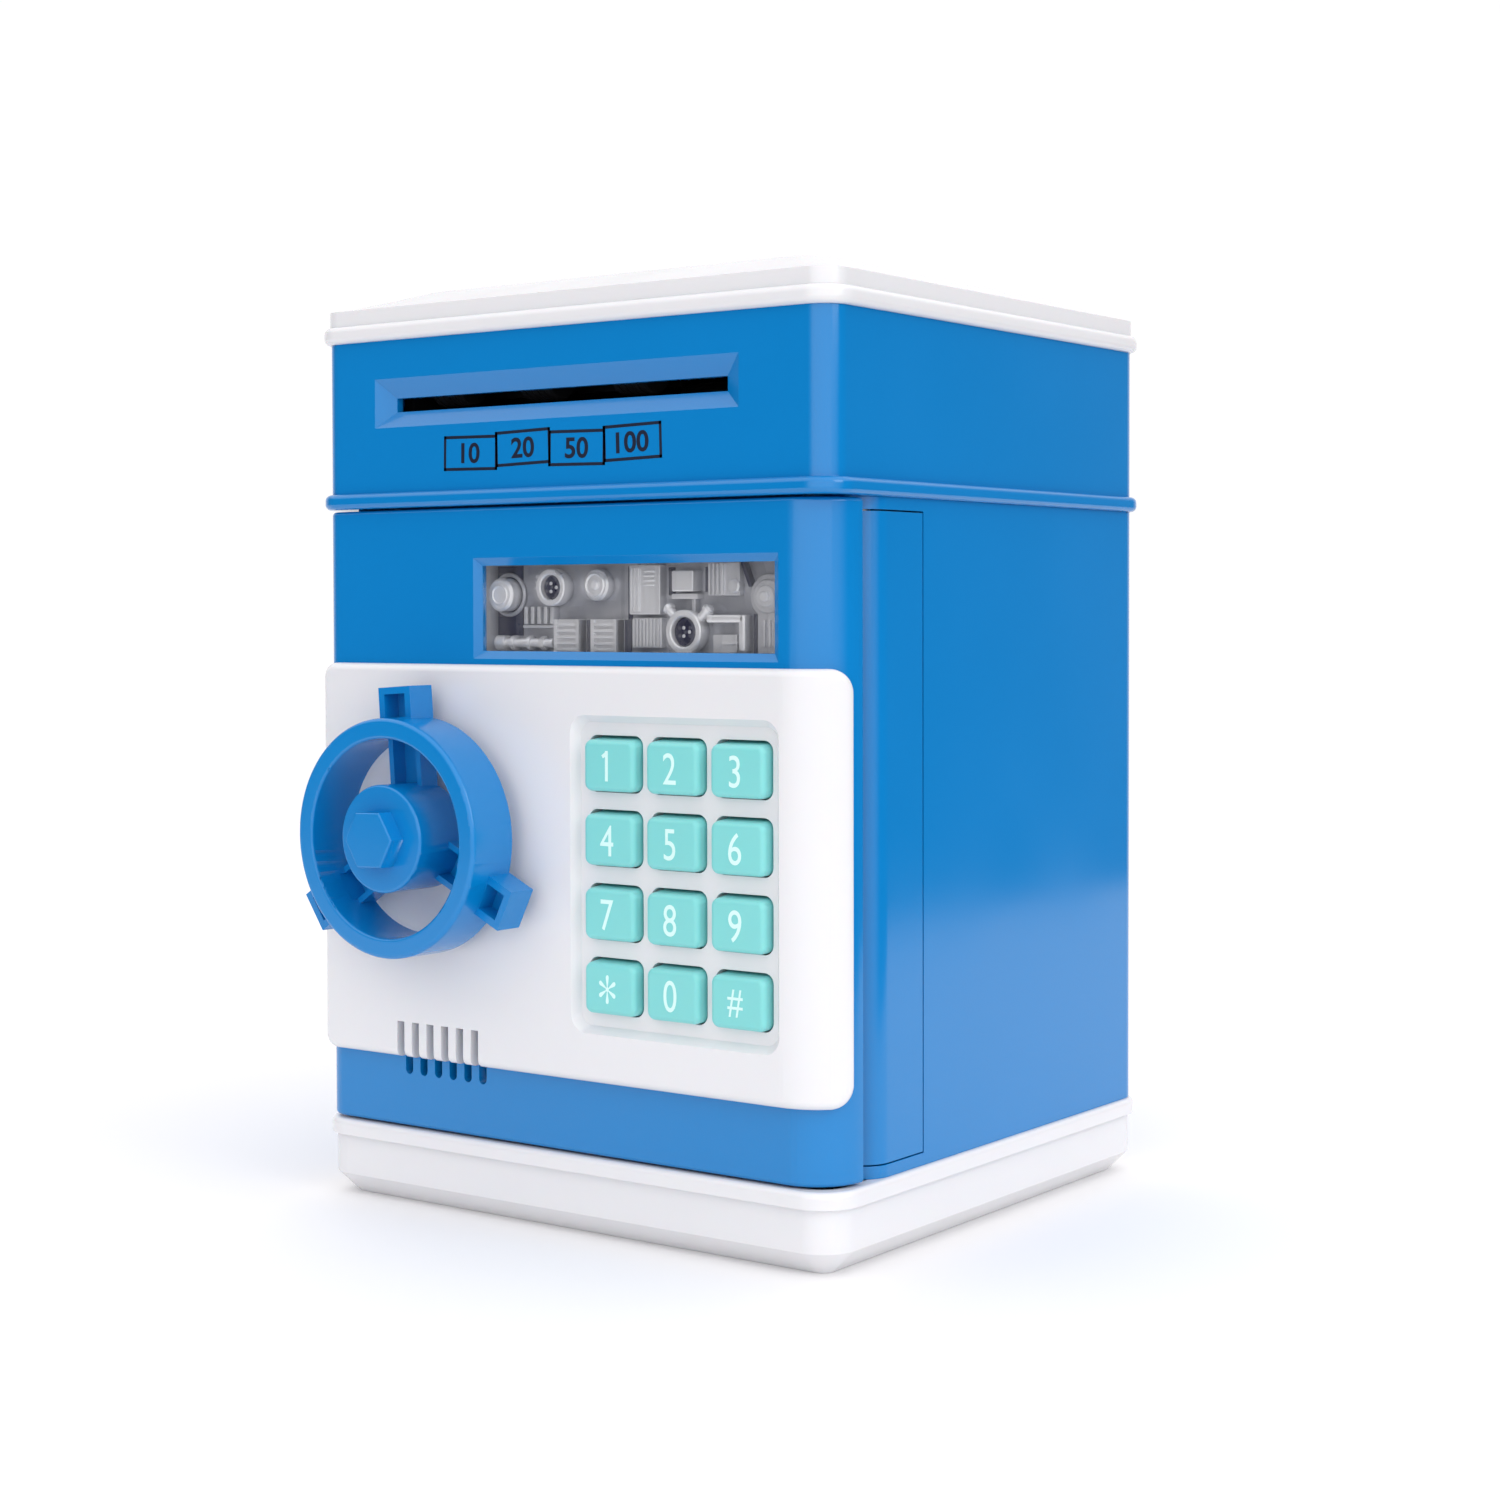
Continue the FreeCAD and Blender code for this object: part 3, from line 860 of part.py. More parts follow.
def make_feeder():
    deck = Piece("feeder_deck")
    left, right = -58.5, 43.5
    deck.box((left, f"{ROLLER_Y} - 9", DECK_LOW), (right, f"{ROLLER_Y} + 29", DECK_TOP))
    deck.cut_box((-46.5, f"{ROLLER_Y} + 7", f"{DECK_LOW} - 1"),
                 (19.5, f"{ROLLER_Y} + 26", f"{DECK_TOP} + 1"))
    deck.cut_box((left - 1, f"{ROLLER_Y} - 10", f"{DECK_LOW} - 1"),
                 (-49.5, f"{ROLLER_Y} + 2", f"{DECK_TOP} + 1"))
    for x in (-48.5, 41):
        deck.box((x, f"{ROLLER_Y} - 5", f"{DECK_TOP} - 0.5"),
                 (x + 2.5, f"{ROLLER_Y} + 5", f"{PINCH_Z} + 4"))
        for z in (DRIVE_Z, PINCH_Z):
            deck.hole("x", (ROLLER_Y, z), x - 1, x + 4, "feed_shaft_radius + running_gap")
    deck.box((41, f"{ROLLER_Y} + 4", f"{DECK_TOP} - 0.5"), (43.5, f"{MOTOR_Y} + 11", f"{DRIVE_Z} + 9"))
    deck.hole("x", (MOTOR_Y, DRIVE_Z), 40, 44, 3.2)
    for x, y in DECK_SCREWS:
        deck.hole("z", (x, y), f"{DECK_LOW} - 1", f"{DECK_TOP} + 1", "screw_radius + 0.2")
    guide = Piece("note_guide")
    bend_y, bend_z = f"({ROLLER_Y} + 8)", f"({DECK_TOP} + 5)"
    bend = f"({SLOT_Z} - {bend_z})"
    guide.rod("x", (bend_y, bend_z), -44, 14, f"{bend} + 3.6")
    guide.hole("x", (bend_y, bend_z), -45, 15, f"{bend} + 2")
    guide.cut_box((-45, f"{bend_y} - 30", f"{bend_z} - 30"), (15, bend_y, f"{bend_z} + 30"))
    guide.cut_box((-45, f"{bend_y} - 1", f"{bend_z} - 30"), (15, f"{bend_y} + 30", DECK_TOP))
    for x in (-44, 12.4):
        guide.box((x, f"{bend_y} + {bend} + 1.5", DECK_TOP),
                  (x + 1.6, f"{bend_y} + {bend} + 8", f"{DECK_TOP} + 6"))
    feed_shaft = Piece("feed_shaft")
    feed_shaft.rod("x", (ROLLER_Y, DRIVE_Z), -49.3, 49, "feed_shaft_radius")
    pinch_shaft = Piece("pinch_shaft")
    pinch_shaft.rod("x", (ROLLER_Y, PINCH_Z), -49.3, 44.5, "feed_shaft_radius")
    for name, z in (("feed_rollers", DRIVE_Z), ("pinch_rollers", PINCH_Z)):
        rollers = Piece(name)
        for x in (-38, -14, 10):
            rollers.rod("x", (ROLLER_Y, z), x - 4, x + 4, "roller_radius")
        rollers.hole("x", (ROLLER_Y, z), -45, 16, "feed_shaft_radius")
    gear = toothed(FEED_GEAR_TEETH, FEED_MODULE, value("feed_shaft_radius"), 3)
    loose_shape("feed_gear", gear, FreeCAD.Placement(
        FreeCAD.Vector(45, value(ROLLER_Y), value(DRIVE_Z)), TURN["x"]))
    motor = Piece("feed_motor")
    motor.rod("x", (MOTOR_Y, DRIVE_Z), 16, 41, 10)
    motor.cut_box((15, f"{MOTOR_Y} - 12", f"{DRIVE_Z} - 12"), (42, f"{MOTOR_Y} + 12", f"{DRIVE_Z} - 7.6"))
    motor.cut_box((15, f"{MOTOR_Y} - 12", f"{DRIVE_Z} + 7.6"), (42, f"{MOTOR_Y} + 12", f"{DRIVE_Z} + 12"))
    motor.rod("x", (MOTOR_Y, DRIVE_Z), 40.8, 42.5, 3)
    motor.rod("x", (MOTOR_Y, DRIVE_Z), 14.5, 16.2, 3)
    motor.hole("x", (MOTOR_Y, DRIVE_Z), 36, 44, "1 + running_gap")
    rotor = toothed(FEED_PINION_TEETH, FEED_MODULE, 0.5, 3.6)
    axle = Part.makeCylinder(1, 14, FreeCAD.Vector(0, 0, -8))
    loose_shape("motor_pinion", rotor.fuse(axle).removeSplitter(), FreeCAD.Placement(
        FreeCAD.Vector(44.7, value(MOTOR_Y), value(DRIVE_Z)), TURN["x"]))
    sensor = Piece("note_sensor")
    sensor.box((24, f"{FRONT} + wall + 2", DECK_TOP), (36, f"{FRONT} + wall + 3.6", f"{SLOT_Z} - 3"))
    sensor.box((27, f"{FRONT} + wall + 3.4", f"{SLOT_Z} - 8"),
               (33, f"{FRONT} + wall + 6.4", f"{SLOT_Z} - 3"))
    rods("feeder_screws", "z", DECK_SCREWS,
         [(2.6, DECK_TOP, f"{DECK_TOP} + 1.4"),
          ("screw_radius", f"{CABINET_TOP} + 1", f"{DECK_TOP} + 0.2")])


for make in (make_base, make_cabinet, make_housing, make_lid, make_door, make_panel, make_keys,
             make_door_fittings, make_dial, make_latch, make_feeder):
    make()

doc.recompute()
for item in doc.Objects:
    if "Invalid" in item.State or "Error" in item.State:
        raise RuntimeError(f"{item.Label} failed: {item.State}")
sub_parts = [item for item in doc.Objects if item.TypeId in ("PartDesign::Body", "Part::Feature")]
os.makedirs("parts", exist_ok=True)
for item in sub_parts:
    if item.Shape.isNull() or not item.Shape.isValid():
        raise RuntimeError(f"{item.Label} has no valid shape")
for item in sub_parts:
    item.Shape.exportStep(f"parts/{item.Label}.step")
    print(f"{item.Label:22s} {len(item.Shape.Solids)} solids {item.Shape.Volume:10.1f} mm3")
print(len(sub_parts), "sub-parts")
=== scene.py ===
"""The looks of a toy electronic safe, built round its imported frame.

Every length in this file is in metres. MM turns millimetres into metres.
"""
import json
import math
import bpy
from mathutils import Matrix, Vector


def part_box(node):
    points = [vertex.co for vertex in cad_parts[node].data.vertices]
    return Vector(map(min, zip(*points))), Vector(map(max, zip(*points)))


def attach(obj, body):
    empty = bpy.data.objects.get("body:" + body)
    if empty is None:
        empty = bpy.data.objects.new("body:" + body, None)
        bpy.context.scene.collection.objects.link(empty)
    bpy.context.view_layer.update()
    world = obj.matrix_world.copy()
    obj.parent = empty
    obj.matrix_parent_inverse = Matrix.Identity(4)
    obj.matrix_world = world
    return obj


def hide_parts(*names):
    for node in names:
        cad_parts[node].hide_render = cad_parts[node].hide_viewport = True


bl_info = {
    "name": "Toy Safe Looks",
    "version": (1, 0, 0),
    "blender": (4, 5, 0),
    "location": "View3D > Sidebar > Toy Safe",
    "description": "Builds the visible pieces of a toy electronic safe round its frame",
    "category": "Object",
}

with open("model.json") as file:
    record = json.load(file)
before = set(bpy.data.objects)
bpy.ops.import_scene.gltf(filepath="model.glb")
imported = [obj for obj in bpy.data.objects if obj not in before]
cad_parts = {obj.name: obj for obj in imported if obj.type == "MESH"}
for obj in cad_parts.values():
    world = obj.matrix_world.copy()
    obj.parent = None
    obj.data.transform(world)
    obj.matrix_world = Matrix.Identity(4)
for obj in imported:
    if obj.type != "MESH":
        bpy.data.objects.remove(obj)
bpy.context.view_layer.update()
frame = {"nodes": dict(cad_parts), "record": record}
MM = 0.001
NODES = frame["nodes"]
BODY_OF = {node: body for body, nodes in frame["record"]["behaviour"]["bodies"].items()
           for node in nodes}
SLOT_OF = {part["node"]: part["material_slot"] for part in frame["record"]["subparts"]}
KEY_MARKS = {"1": "1", "2": "2", "3": "3", "4": "4", "5": "5", "6": "6", "7": "7", "8": "8",
             "9": "9", "star": "*", "0": "0", "hash": "#"}
NOTE_VALUES = ("10", "20", "50", "100")
PLATE_THICK = 1.2 * MM   # the plate that the make-believe machinery stands on
AXIS = {"x": Vector((1, 0, 0)), "y": Vector((0, 1, 0)), "z": Vector((0, 0, 1))}
BACKWARD = Matrix.Rotation(math.radians(90), 4, "X")   # stands flat work up to face the front


# ------------------------------------------------------------------ colours and materials
def linear(hex_colour):
    """An sRGB hex colour as linear red, green and blue."""
    channels = [int(hex_colour[n:n + 2], 16) / 255 for n in (1, 3, 5)]
    return tuple(c / 12.92 if c <= 0.04045 else ((c + 0.055) / 1.055) ** 2.4 for c in channels)


def add(tree, kind, sockets=(), **settings):
    """Add a node. A socket takes a number, a colour or the (node, output) it is wired to."""
    made = tree.nodes.new(kind)
    for name, setting in settings.items():
        setattr(made, name, setting)
    for name, given in dict(sockets).items():
        if isinstance(given, tuple) and isinstance(given[0], bpy.types.Node):
            tree.links.new(given[0].outputs[given[1]], made.inputs[name])
        else:
            made.inputs[name].default_value = given
    return made


def new_material(name):
    material = bpy.data.materials.new(name)
    material.use_nodes = True
    material.node_tree.nodes.clear()
    return material, material.node_tree


def tinted(colour, factor):
    return tuple(channel * factor for channel in colour) + (1.0,)


def moulded(name, colour, roughness, grain, relief, ior, subsurface=0.0, mottle=0.06):
    """Injection-moulded plastic: even colour, a soft gloss and the faint texture of the tool.

    The colour and the gloss drift over some 35 mm, as the melt flowed. The texture's grain is
    drawn coarser than the tool leaves it, so that it shows.
    """
    material, tree = new_material(name)
    place = add(tree, "ShaderNodeTexCoord")
    broad = add(tree, "ShaderNodeTexNoise", {"Vector": (place, "Object"), "Scale": 1 / (35 * MM),
                                             "Detail": 2.0})
    fine = add(tree, "ShaderNodeTexNoise", {"Vector": (place, "Object"), "Scale": 1 / grain,
                                            "Detail": 3.0})
    shade = add(tree, "ShaderNodeMix", {0: (broad, "Fac"), 6: tinted(colour, 1 - mottle),
                                        7: tinted(colour, 1 + mottle)}, data_type="RGBA")
    gloss = add(tree, "ShaderNodeMapRange", {"Value": (broad, "Fac"), "From Min": 0.3, "From Max": 0.7,
                                             "To Min": roughness - 0.03, "To Max": roughness + 0.03})
    skin = add(tree, "ShaderNodeBump", {"Height": (fine, "Fac"), "Distance": relief, "Strength": 1.0})
    shader = add(tree, "ShaderNodeBsdfPrincipled", {
        "Base Color": (shade, 2), "Roughness": (gloss, "Result"), "Normal": (skin, "Normal"), "IOR": ior,
        "Subsurface Weight": subsurface, "Subsurface Scale": 1.5 * MM})
    add(tree, "ShaderNodeOutputMaterial", {"Surface": (shader, "BSDF")})
    return material


def metal(name, colour, roughness, streak):
    """Plated or drawn steel: bright, with fine scuffs that run along X."""
    material, tree = new_material(name)
    place = add(tree, "ShaderNodeTexCoord")
    pull = add(tree, "ShaderNodeMapping", {"Vector": (place, "Object"), "Scale": (0.08, 1, 1)})
    scuff = add(tree, "ShaderNodeTexNoise", {"Vector": (pull, "Vector"), "Scale": 1 / streak,
                                             "Detail": 4.0})
    gloss = add(tree, "ShaderNodeMapRange", {"Value": (scuff, "Fac"), "From Min": 0.3, "From Max": 0.7,
                                             "To Min": roughness * 0.75, "To Max": roughness * 1.3})
    skin = add(tree, "ShaderNodeBump", {"Height": (scuff, "Fac"), "Distance": 0.01 * MM,
                                        "Strength": 0.6})
    shader = add(tree, "ShaderNodeBsdfPrincipled", {
        "Base Color": tinted(colour, 1), "Metallic": 1.0, "Roughness": (gloss, "Result"),
        "Normal": (skin, "Normal")})
    add(tree, "ShaderNodeOutputMaterial", {"Surface": (shader, "BSDF")})
    return material


def clear_styrene(name):
    """Clear polystyrene, moulded thin: hard and glassy, with hairline scratches from handling.

    The low alpha lets most light straight through the thin pane to the work behind it.
    """
    material, tree = new_material(name)
    place = add(tree, "ShaderNodeTexCoord")
    hair = add(tree, "ShaderNodeTexNoise", {"Vector": (place, "Object"), "Scale": 1 / (6 * MM),
                                            "Detail": 6.0})
    gloss = add(tree, "ShaderNodeMapRange", {"Value": (hair, "Fac"), "To Min": 0.0, "To Max": 0.06})
    shader = add(tree, "ShaderNodeBsdfPrincipled", {
        "Base Color": tinted(linear("#F7F8FA"), 1), "Roughness": (gloss, "Result"), "IOR": 1.45,
        "Transmission Weight": 1.0, "Alpha": 0.12})
    add(tree, "ShaderNodeOutputMaterial", {"Surface": (shader, "BSDF")})
    return material


def plated_styrene(name, colour, shadow, plate_depth, relief_depth):
    """Vacuum-metallised polystyrene: silver on the raised work, with painted shade that darkens it down
    in the valleys, towards the plate.
    """
    material, tree = new_material(name)
    place = add(tree, "ShaderNodeTexCoord")
    split = add(tree, "ShaderNodeSeparateXYZ", {"Vector": (place, "Object")})
    # Painted shade: the silver darkens towards the shadow colour with depth along Y, in cloudy patches.
    depth = add(tree, "ShaderNodeMapRange", {
        "Value": (split, "Y"), "From Min": plate_depth - relief_depth, "From Max": plate_depth,
        "To Min": 0.0, "To Max": 1.0})
    cloud = add(tree, "ShaderNodeTexNoise", {"Vector": (place, "Object"), "Scale": 1 / (9 * MM),
                                             "Detail": 3.0})
    painted_shade_amount = add(tree, "ShaderNodeMath", {0: (depth, "Result"), 1: (cloud, "Fac")}, operation="MULTIPLY")
    shade = add(tree, "ShaderNodeMix", {0: (painted_shade_amount, "Value"), 6: tinted(colour, 1),
                                        7: tinted(shadow, 1)}, data_type="RGBA")
    gloss = add(tree, "ShaderNodeMapRange", {"Value": (cloud, "Fac"), "To Min": 0.2, "To Max": 0.42})
    shader = add(tree, "ShaderNodeBsdfPrincipled", {
        "Base Color": (shade, 2), "Metallic": 0.5, "Roughness": (gloss, "Result")})
    add(tree, "ShaderNodeOutputMaterial", {"Surface": (shader, "BSDF")})
    return material


def laminate(name):
    """Glass-epoxy circuit board: green solder mask over copper tracks 0.6 mm wide."""
    material, tree = new_material(name)
    place = add(tree, "ShaderNodeTexCoord")
    swap = add(tree, "ShaderNodeMapping", {"Vector": (place, "Object"),
                                           "Rotation": (math.radians(90), 0, 0)})
    tracks = add(tree, "ShaderNodeTexBrick", {
        "Vector": (swap, "Vector"), "Scale": 1.0, "Brick Width": 9 * MM, "Row Height": 1.8 * MM,
        "Mortar Size": 0.3 * MM, "Color1": tinted(linear("#0E4A2B"), 1),
        "Color2": tinted(linear("#10532F"), 1), "Mortar": tinted(linear("#2A7A48"), 1)})
    raised = add(tree, "ShaderNodeBump", {"Height": (tracks, "Fac"), "Distance": 0.04 * MM,
                                          "Strength": 1.0})
    shader = add(tree, "ShaderNodeBsdfPrincipled", {
        "Base Color": (tracks, "Color"), "Roughness": 0.32, "IOR": 1.55, "Normal": (raised, "Normal")})
    add(tree, "ShaderNodeOutputMaterial", {"Surface": (shader, "BSDF")})
    return material


def make_materials():
    """One material for each finish, by the record's slot name where it has one."""
    colours = bpy.context.scene.safe_colours
    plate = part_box("machinery_insert")[1].y - PLATE_THICK
    return {
        # Polished tool: the body shines, and the floor shows low on its walls.
        "blue_abs": moulded("Blue ABS", colours.blue, 0.13, 0.5 * MM, 0.0015 * MM, 1.53, mottle=0.03),
        # Satin tool: the dial's highlights are broader than the body's.
        "dial_abs": moulded("Blue ABS, dial", colours.dial, 0.2, 0.5 * MM, 0.002 * MM, 1.53,
                            mottle=0.03),
        # White resin lets a little light in, which fills its small shadows.
        "white_abs": moulded("White ABS", colours.white, 0.22, 0.5 * MM, 0.002 * MM, 1.53, 0.08,
                             mottle=0.01),
        # Fine-textured key tops, a little waxy.
        "mint_abs": moulded("Mint ABS", colours.mint, 0.34, 0.35 * MM, 0.005 * MM, 1.53, 0.12,
                            mottle=0.03),
        # Spark-eroded tool: a dull black with a fine grain.
        "black_plastic": moulded("Black polystyrene", linear("#17181A"), 0.42, 0.4 * MM, 0.01 * MM,
                                 1.55),
        # Moulded gears and bolt: milky and slippery.
        "acetal": moulded("Acetal", linear("#E3E0D6"), 0.4, 0.3 * MM, 0.004 * MM, 1.48, 0.15,
                          mottle=0.02),
        # Pressed and ground tyres: matt, nearly black.
        "rubber": moulded("Nitrile rubber", linear("#26272A"), 0.62, 0.25 * MM, 0.02 * MM, 1.52),
        # Cast lamp bodies: glossy red with some depth.
        "led_plastic": moulded("Tinted epoxy", linear("#C8402F"), 0.15, 0.5 * MM, 0.002 * MM, 1.54, 0.3),
        # Shrunk sleeves round the cells: smooth navy.
        "cell_jacket": moulded("Printed PVC sleeve", linear("#1B2C63"), 0.28, 0.6 * MM, 0.003 * MM,
                               1.53),
        "steel": metal("Zinc-plated steel", linear("#B9BBBD"), 0.32, 0.5 * MM),
        "laminate": laminate("FR4 laminate"),
        "clear_styrene": clear_styrene("Clear polystyrene"),
        # The plating's second colour is painted shade for the valleys of the relief.
        "metallised_styrene": plated_styrene("Metallised polystyrene", colours.plating,
                                             linear("#4A5166"), plate, 2.6 * MM),
        # Painted shade in the relief's gaps and the well behind the knob, and the dark discs in the
        # gauges: dark, smooth and a little glossy.
        "painted_shade_and_gauge_dark": moulded("Dark grey styrene", linear("#23243A"), 0.25, 0.4 * MM,
                                  0.003 * MM, 1.59),
        # Pad-printed inks lie thin and flat on the plastic.
        "ink": moulded("Pad-printed ink", colours.ink, 0.38, 0.4 * MM, 0.002 * MM, 1.5),
        "legend": moulded("Pale key print", colours.legend, 0.4, 0.4 * MM, 0.002 * MM, 1.5),
        # Pressed paper pulp: rough and matt.
        "cloth": moulded("Loudspeaker paper", linear("#15171B"), 0.8, 0.6 * MM, 0.05 * MM, 1.4),
    }


# ------------------------------------------------------------------ modelling helpers
def only(*pieces):
    """Select these pieces and nothing else."""
    bpy.ops.object.select_all(action="DESELECT")
    for piece in pieces:
        piece.select_set(True)
    bpy.context.view_layer.objects.active = pieces[0]


def into_mesh(piece):
    """Put the piece's place into its mesh, so that its object stands at the origin."""
    only(piece)
    bpy.ops.object.transform_apply(location=True, rotation=True, scale=True)


def modify(piece, kind, **settings):
    """Add a modifier and apply it."""
    only(piece)
    modifier = piece.modifiers.new(kind.title(), kind)
    for name, setting in settings.items():
        setattr(modifier, name, setting)
    bpy.ops.object.modifier_apply(modifier=modifier.name)


def soften(piece, width, segments=2, angle=25):
    modify(piece, "BEVEL", width=width, segments=segments, limit_method="ANGLE",
           angle_limit=math.radians(angle), use_clamp_overlap=True)


def smooth(piece, angle=23):
    """Smooth the round faces, and keep the flat ones flat right up to their softened edges."""
    only(piece)
    bpy.ops.object.shade_smooth_by_angle(angle=math.radians(angle))
    modify(piece, "WEIGHTED_NORMAL", mode="FACE_AREA", weight=100, keep_sharp=True)


def finished(piece, name, material, body, stands_for=()):
    """Name the piece, give it its material and let it ride on its body."""
    piece.name = name
    piece.data.name = name
    piece.data.materials.clear()
    piece.data.materials.append(MATERIALS[material])
    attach(piece, body)
    if stands_for:
        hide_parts(*stands_for)
    return piece


def block(low, high, edge=0.0, segments=2):
    """A block between two corners with softened edges."""
    low, high = Vector(low), Vector(high)
    bpy.ops.object.select_all(action="DESELECT")
    bpy.ops.mesh.primitive_cube_add(size=1, location=(low + high) / 2, scale=high - low)
    piece = bpy.context.active_object
    into_mesh(piece)
    if edge:
        soften(piece, edge, segments)
    return piece


def turned(profile, centre, axis, steps=48):
    """A turned shape: (radius, place along the axis) points, spun about an axis through centre."""
    along = AXIS[axis]
    out = AXIS["z"] if axis == "x" else AXIS["x"]
    centre = Vector(centre) - along * Vector(centre).dot(along)
    mesh = bpy.data.meshes.new("profile")
    mesh.from_pydata([centre + out * radius + along * place for radius, place in profile],
                     [(n, n + 1) for n in range(len(profile) - 1)], [])
    piece = bpy.data.objects.new("turned", mesh)
    bpy.context.scene.collection.objects.link(piece)
    only(piece)
    bpy.ops.object.mode_set(mode="EDIT")
    bpy.ops.mesh.select_all(action="SELECT")
    bpy.ops.mesh.spin(steps=steps, angle=math.tau, center=centre, axis=along)
    bpy.ops.mesh.select_all(action="SELECT")
    bpy.ops.mesh.remove_doubles(threshold=0.002 * MM)
    bpy.ops.mesh.normals_make_consistent(inside=False)
    bpy.ops.object.mode_set(mode="OBJECT")
    return piece


def disc(centre, axis, start, end, radius, edge, steps=40):
    """A short cylinder with softened rims."""
    first, last = sorted((start, end))
    profile = [(0, first), (radius - edge, first), (radius, first + edge), (radius, last - edge),
               (radius - edge, last), (0, last)]
    return turned(profile, centre, axis, steps)


def ring(centre, axis, start, end, outer, inner, edge):
    """A round bezel with softened rims and an open middle."""
    first, last = sorted((start, end))
    profile = [(inner + edge, first), (outer - edge, first), (outer, first + edge),
               (outer, last - edge), (outer - edge, last), (inner + edge, last),
               (inner, last - edge), (inner, first + edge), (inner + edge, first)]
    return turned(profile, centre, axis)


def joined(pieces):
    only(*pieces)
    bpy.ops.object.join()
    return bpy.context.active_object


def cut(piece, cutter):
    """Take the cutter's shape out of the piece."""
    modify(piece, "BOOLEAN", operation="DIFFERENCE", object=cutter, solver="EXACT")
    bpy.data.objects.remove(cutter)


def merged_copy(node):
    """A copy of a frame node whose loose triangles are joined into whole faces."""
    piece = bpy.data.objects.new(f"{node}_copy", NODES[node].data.copy())
    bpy.context.scene.collection.objects.link(piece)
    only(piece)
    bpy.ops.object.mode_set(mode="EDIT")
    bpy.ops.mesh.select_all(action="SELECT")
    bpy.ops.mesh.remove_doubles(threshold=0.002 * MM)
    bpy.ops.mesh.dissolve_limited(angle_limit=math.radians(0.05))
    bpy.ops.object.mode_set(mode="OBJECT")
    return piece


def loose_boxes(node):
    """(lowest, highest) corners of each separate solid of a frame node."""
    merged_copy(node)
    bpy.ops.object.mode_set(mode="EDIT")
    bpy.ops.mesh.select_all(action="SELECT")
    bpy.ops.mesh.separate(type="LOOSE")
    bpy.ops.object.mode_set(mode="OBJECT")
    boxes = []
    for solid in list(bpy.context.selected_objects):
        spots = [vertex.co for vertex in solid.data.vertices]
        boxes.append((Vector([min(spot[n] for spot in spots) for n in range(3)]),
                      Vector([max(spot[n] for spot in spots) for n in range(3)])))
        bpy.data.objects.remove(solid)
    return sorted(boxes, key=lambda box: tuple(box[0]))


def moulding(node, edge, name=None, material=None):
    """A moulded shell: the frame's shape with its sharp edges broken as a tool leaves them."""
    piece = merged_copy(node)
    if edge:
        soften(piece, edge)
    smooth(piece)
    slot = SLOT_OF[node]
    return finished(piece, name or f"moulded_{node}", material or slot, BODY_OF[node], (node,))


# ------------------------------------------------------------------ the pieces
def shells():
    edge = bpy.context.scene.safe_sizes.edge
    for node in ("base_tray", "cabinet_shell", "upper_housing", "top_cover", "door_shell",
                 "door_back_cover", "battery_door", "coin_chute"):
        moulding(node, edge)
    moulding("dial_wheel", 2.2 * edge, material="dial_abs")
    panel = merged_copy("front_panel")
    round_corners(panel)
    soften(panel, edge)
    smooth(panel)
    finished(panel, "moulded_front_panel", "white_abs", "door", ("front_panel",))


def round_corners(panel):
    """Round the lower and upper corners at the left end of the front panel.

    Cuts that fan out from the middle of each round give it points, and each point is then
    pulled in until the square corner is a quarter circle.
    """
    low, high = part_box("front_panel")
    radius, cuts = 3 * MM, 7
    only(panel)
    for up, edge in ((-1, low.z), (1, high.z)):
        centre = Vector((low.x + radius, 0, edge - up * radius))
        bpy.ops.object.mode_set(mode="EDIT")
        for step in range(cuts):
            angle = math.radians(90 / (cuts - 1) * step)
            bpy.ops.mesh.select_all(action="SELECT")
            bpy.ops.mesh.bisect(plane_co=centre, plane_no=(math.sin(angle), 0, up * math.cos(angle)))
        bpy.ops.object.mode_set(mode="OBJECT")
        for vertex in panel.data.vertices:
            left, out = centre.x - vertex.co.x, up * (vertex.co.z - centre.z)
            if left > 0 and out > 0:
                pull = max(left, out) / math.hypot(left, out)
                vertex.co.x = centre.x - left * pull
                vertex.co.z = centre.z + up * out * pull


def key_caps():
    """Twelve mint keys, a little small in their holes, each with its printed mark."""
    sizes = bpy.context.scene.safe_sizes
    flange_deep, cap_wide, cap_tall = 1.5 * MM, 0.985, 0.955
    for name, mark in KEY_MARKS.items():
        node = f"key_{name}"
        low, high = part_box(node)
        centre = (low + high) / 2
        cap = merged_copy(node)
        for vertex in cap.data.vertices:
            if vertex.co.y < high.y - flange_deep:
                vertex.co.z = low.z + (vertex.co.z - low.z) * cap_tall
                vertex.co.x = low.x + (vertex.co.x - low.x) * cap_wide
        smooth(cap)
        finished(cap, f"cap_{name}", "mint_abs", BODY_OF[node], (node,))
        tall = sizes.digit_height * {"*": 1.45, "#": 0.86}.get(mark, 1.0)
        text = lettering(mark, tall, 0.82)
        if mark == "1":
            flag = block((-1.5 * MM, -0.35 * MM, -0.03 * MM), (0, 0.35 * MM, 0.03 * MM))
            flag.data.transform(Matrix.Translation((0.2 * MM, 0.5 * tall - 0.5 * MM, 0))
                                @ Matrix.Rotation(math.radians(35), 4, "Z"))
            text = joined([text, flag])
        if mark in "*#":
            text.data.transform(Matrix.Shear("XY", 4, (0.12, 0.0)))
        spot = (centre.x - 0.5 * MM, low.y - 0.01 * MM, centre.z - 0.3 * MM)
        text.data.transform(Matrix.Translation(spot) @ BACKWARD)
        finished(text, f"mark_{name}", "legend", BODY_OF[node])


def close(piece):
    """Join a text mesh's doubled points and turn its faces outwards."""
    only(piece)
    bpy.ops.object.mode_set(mode="EDIT")
    bpy.ops.mesh.select_all(action="SELECT")
    bpy.ops.mesh.remove_doubles(threshold=0.0005 * MM)
    bpy.ops.mesh.normals_make_consistent(inside=False)
    bpy.ops.object.mode_set(mode="OBJECT")


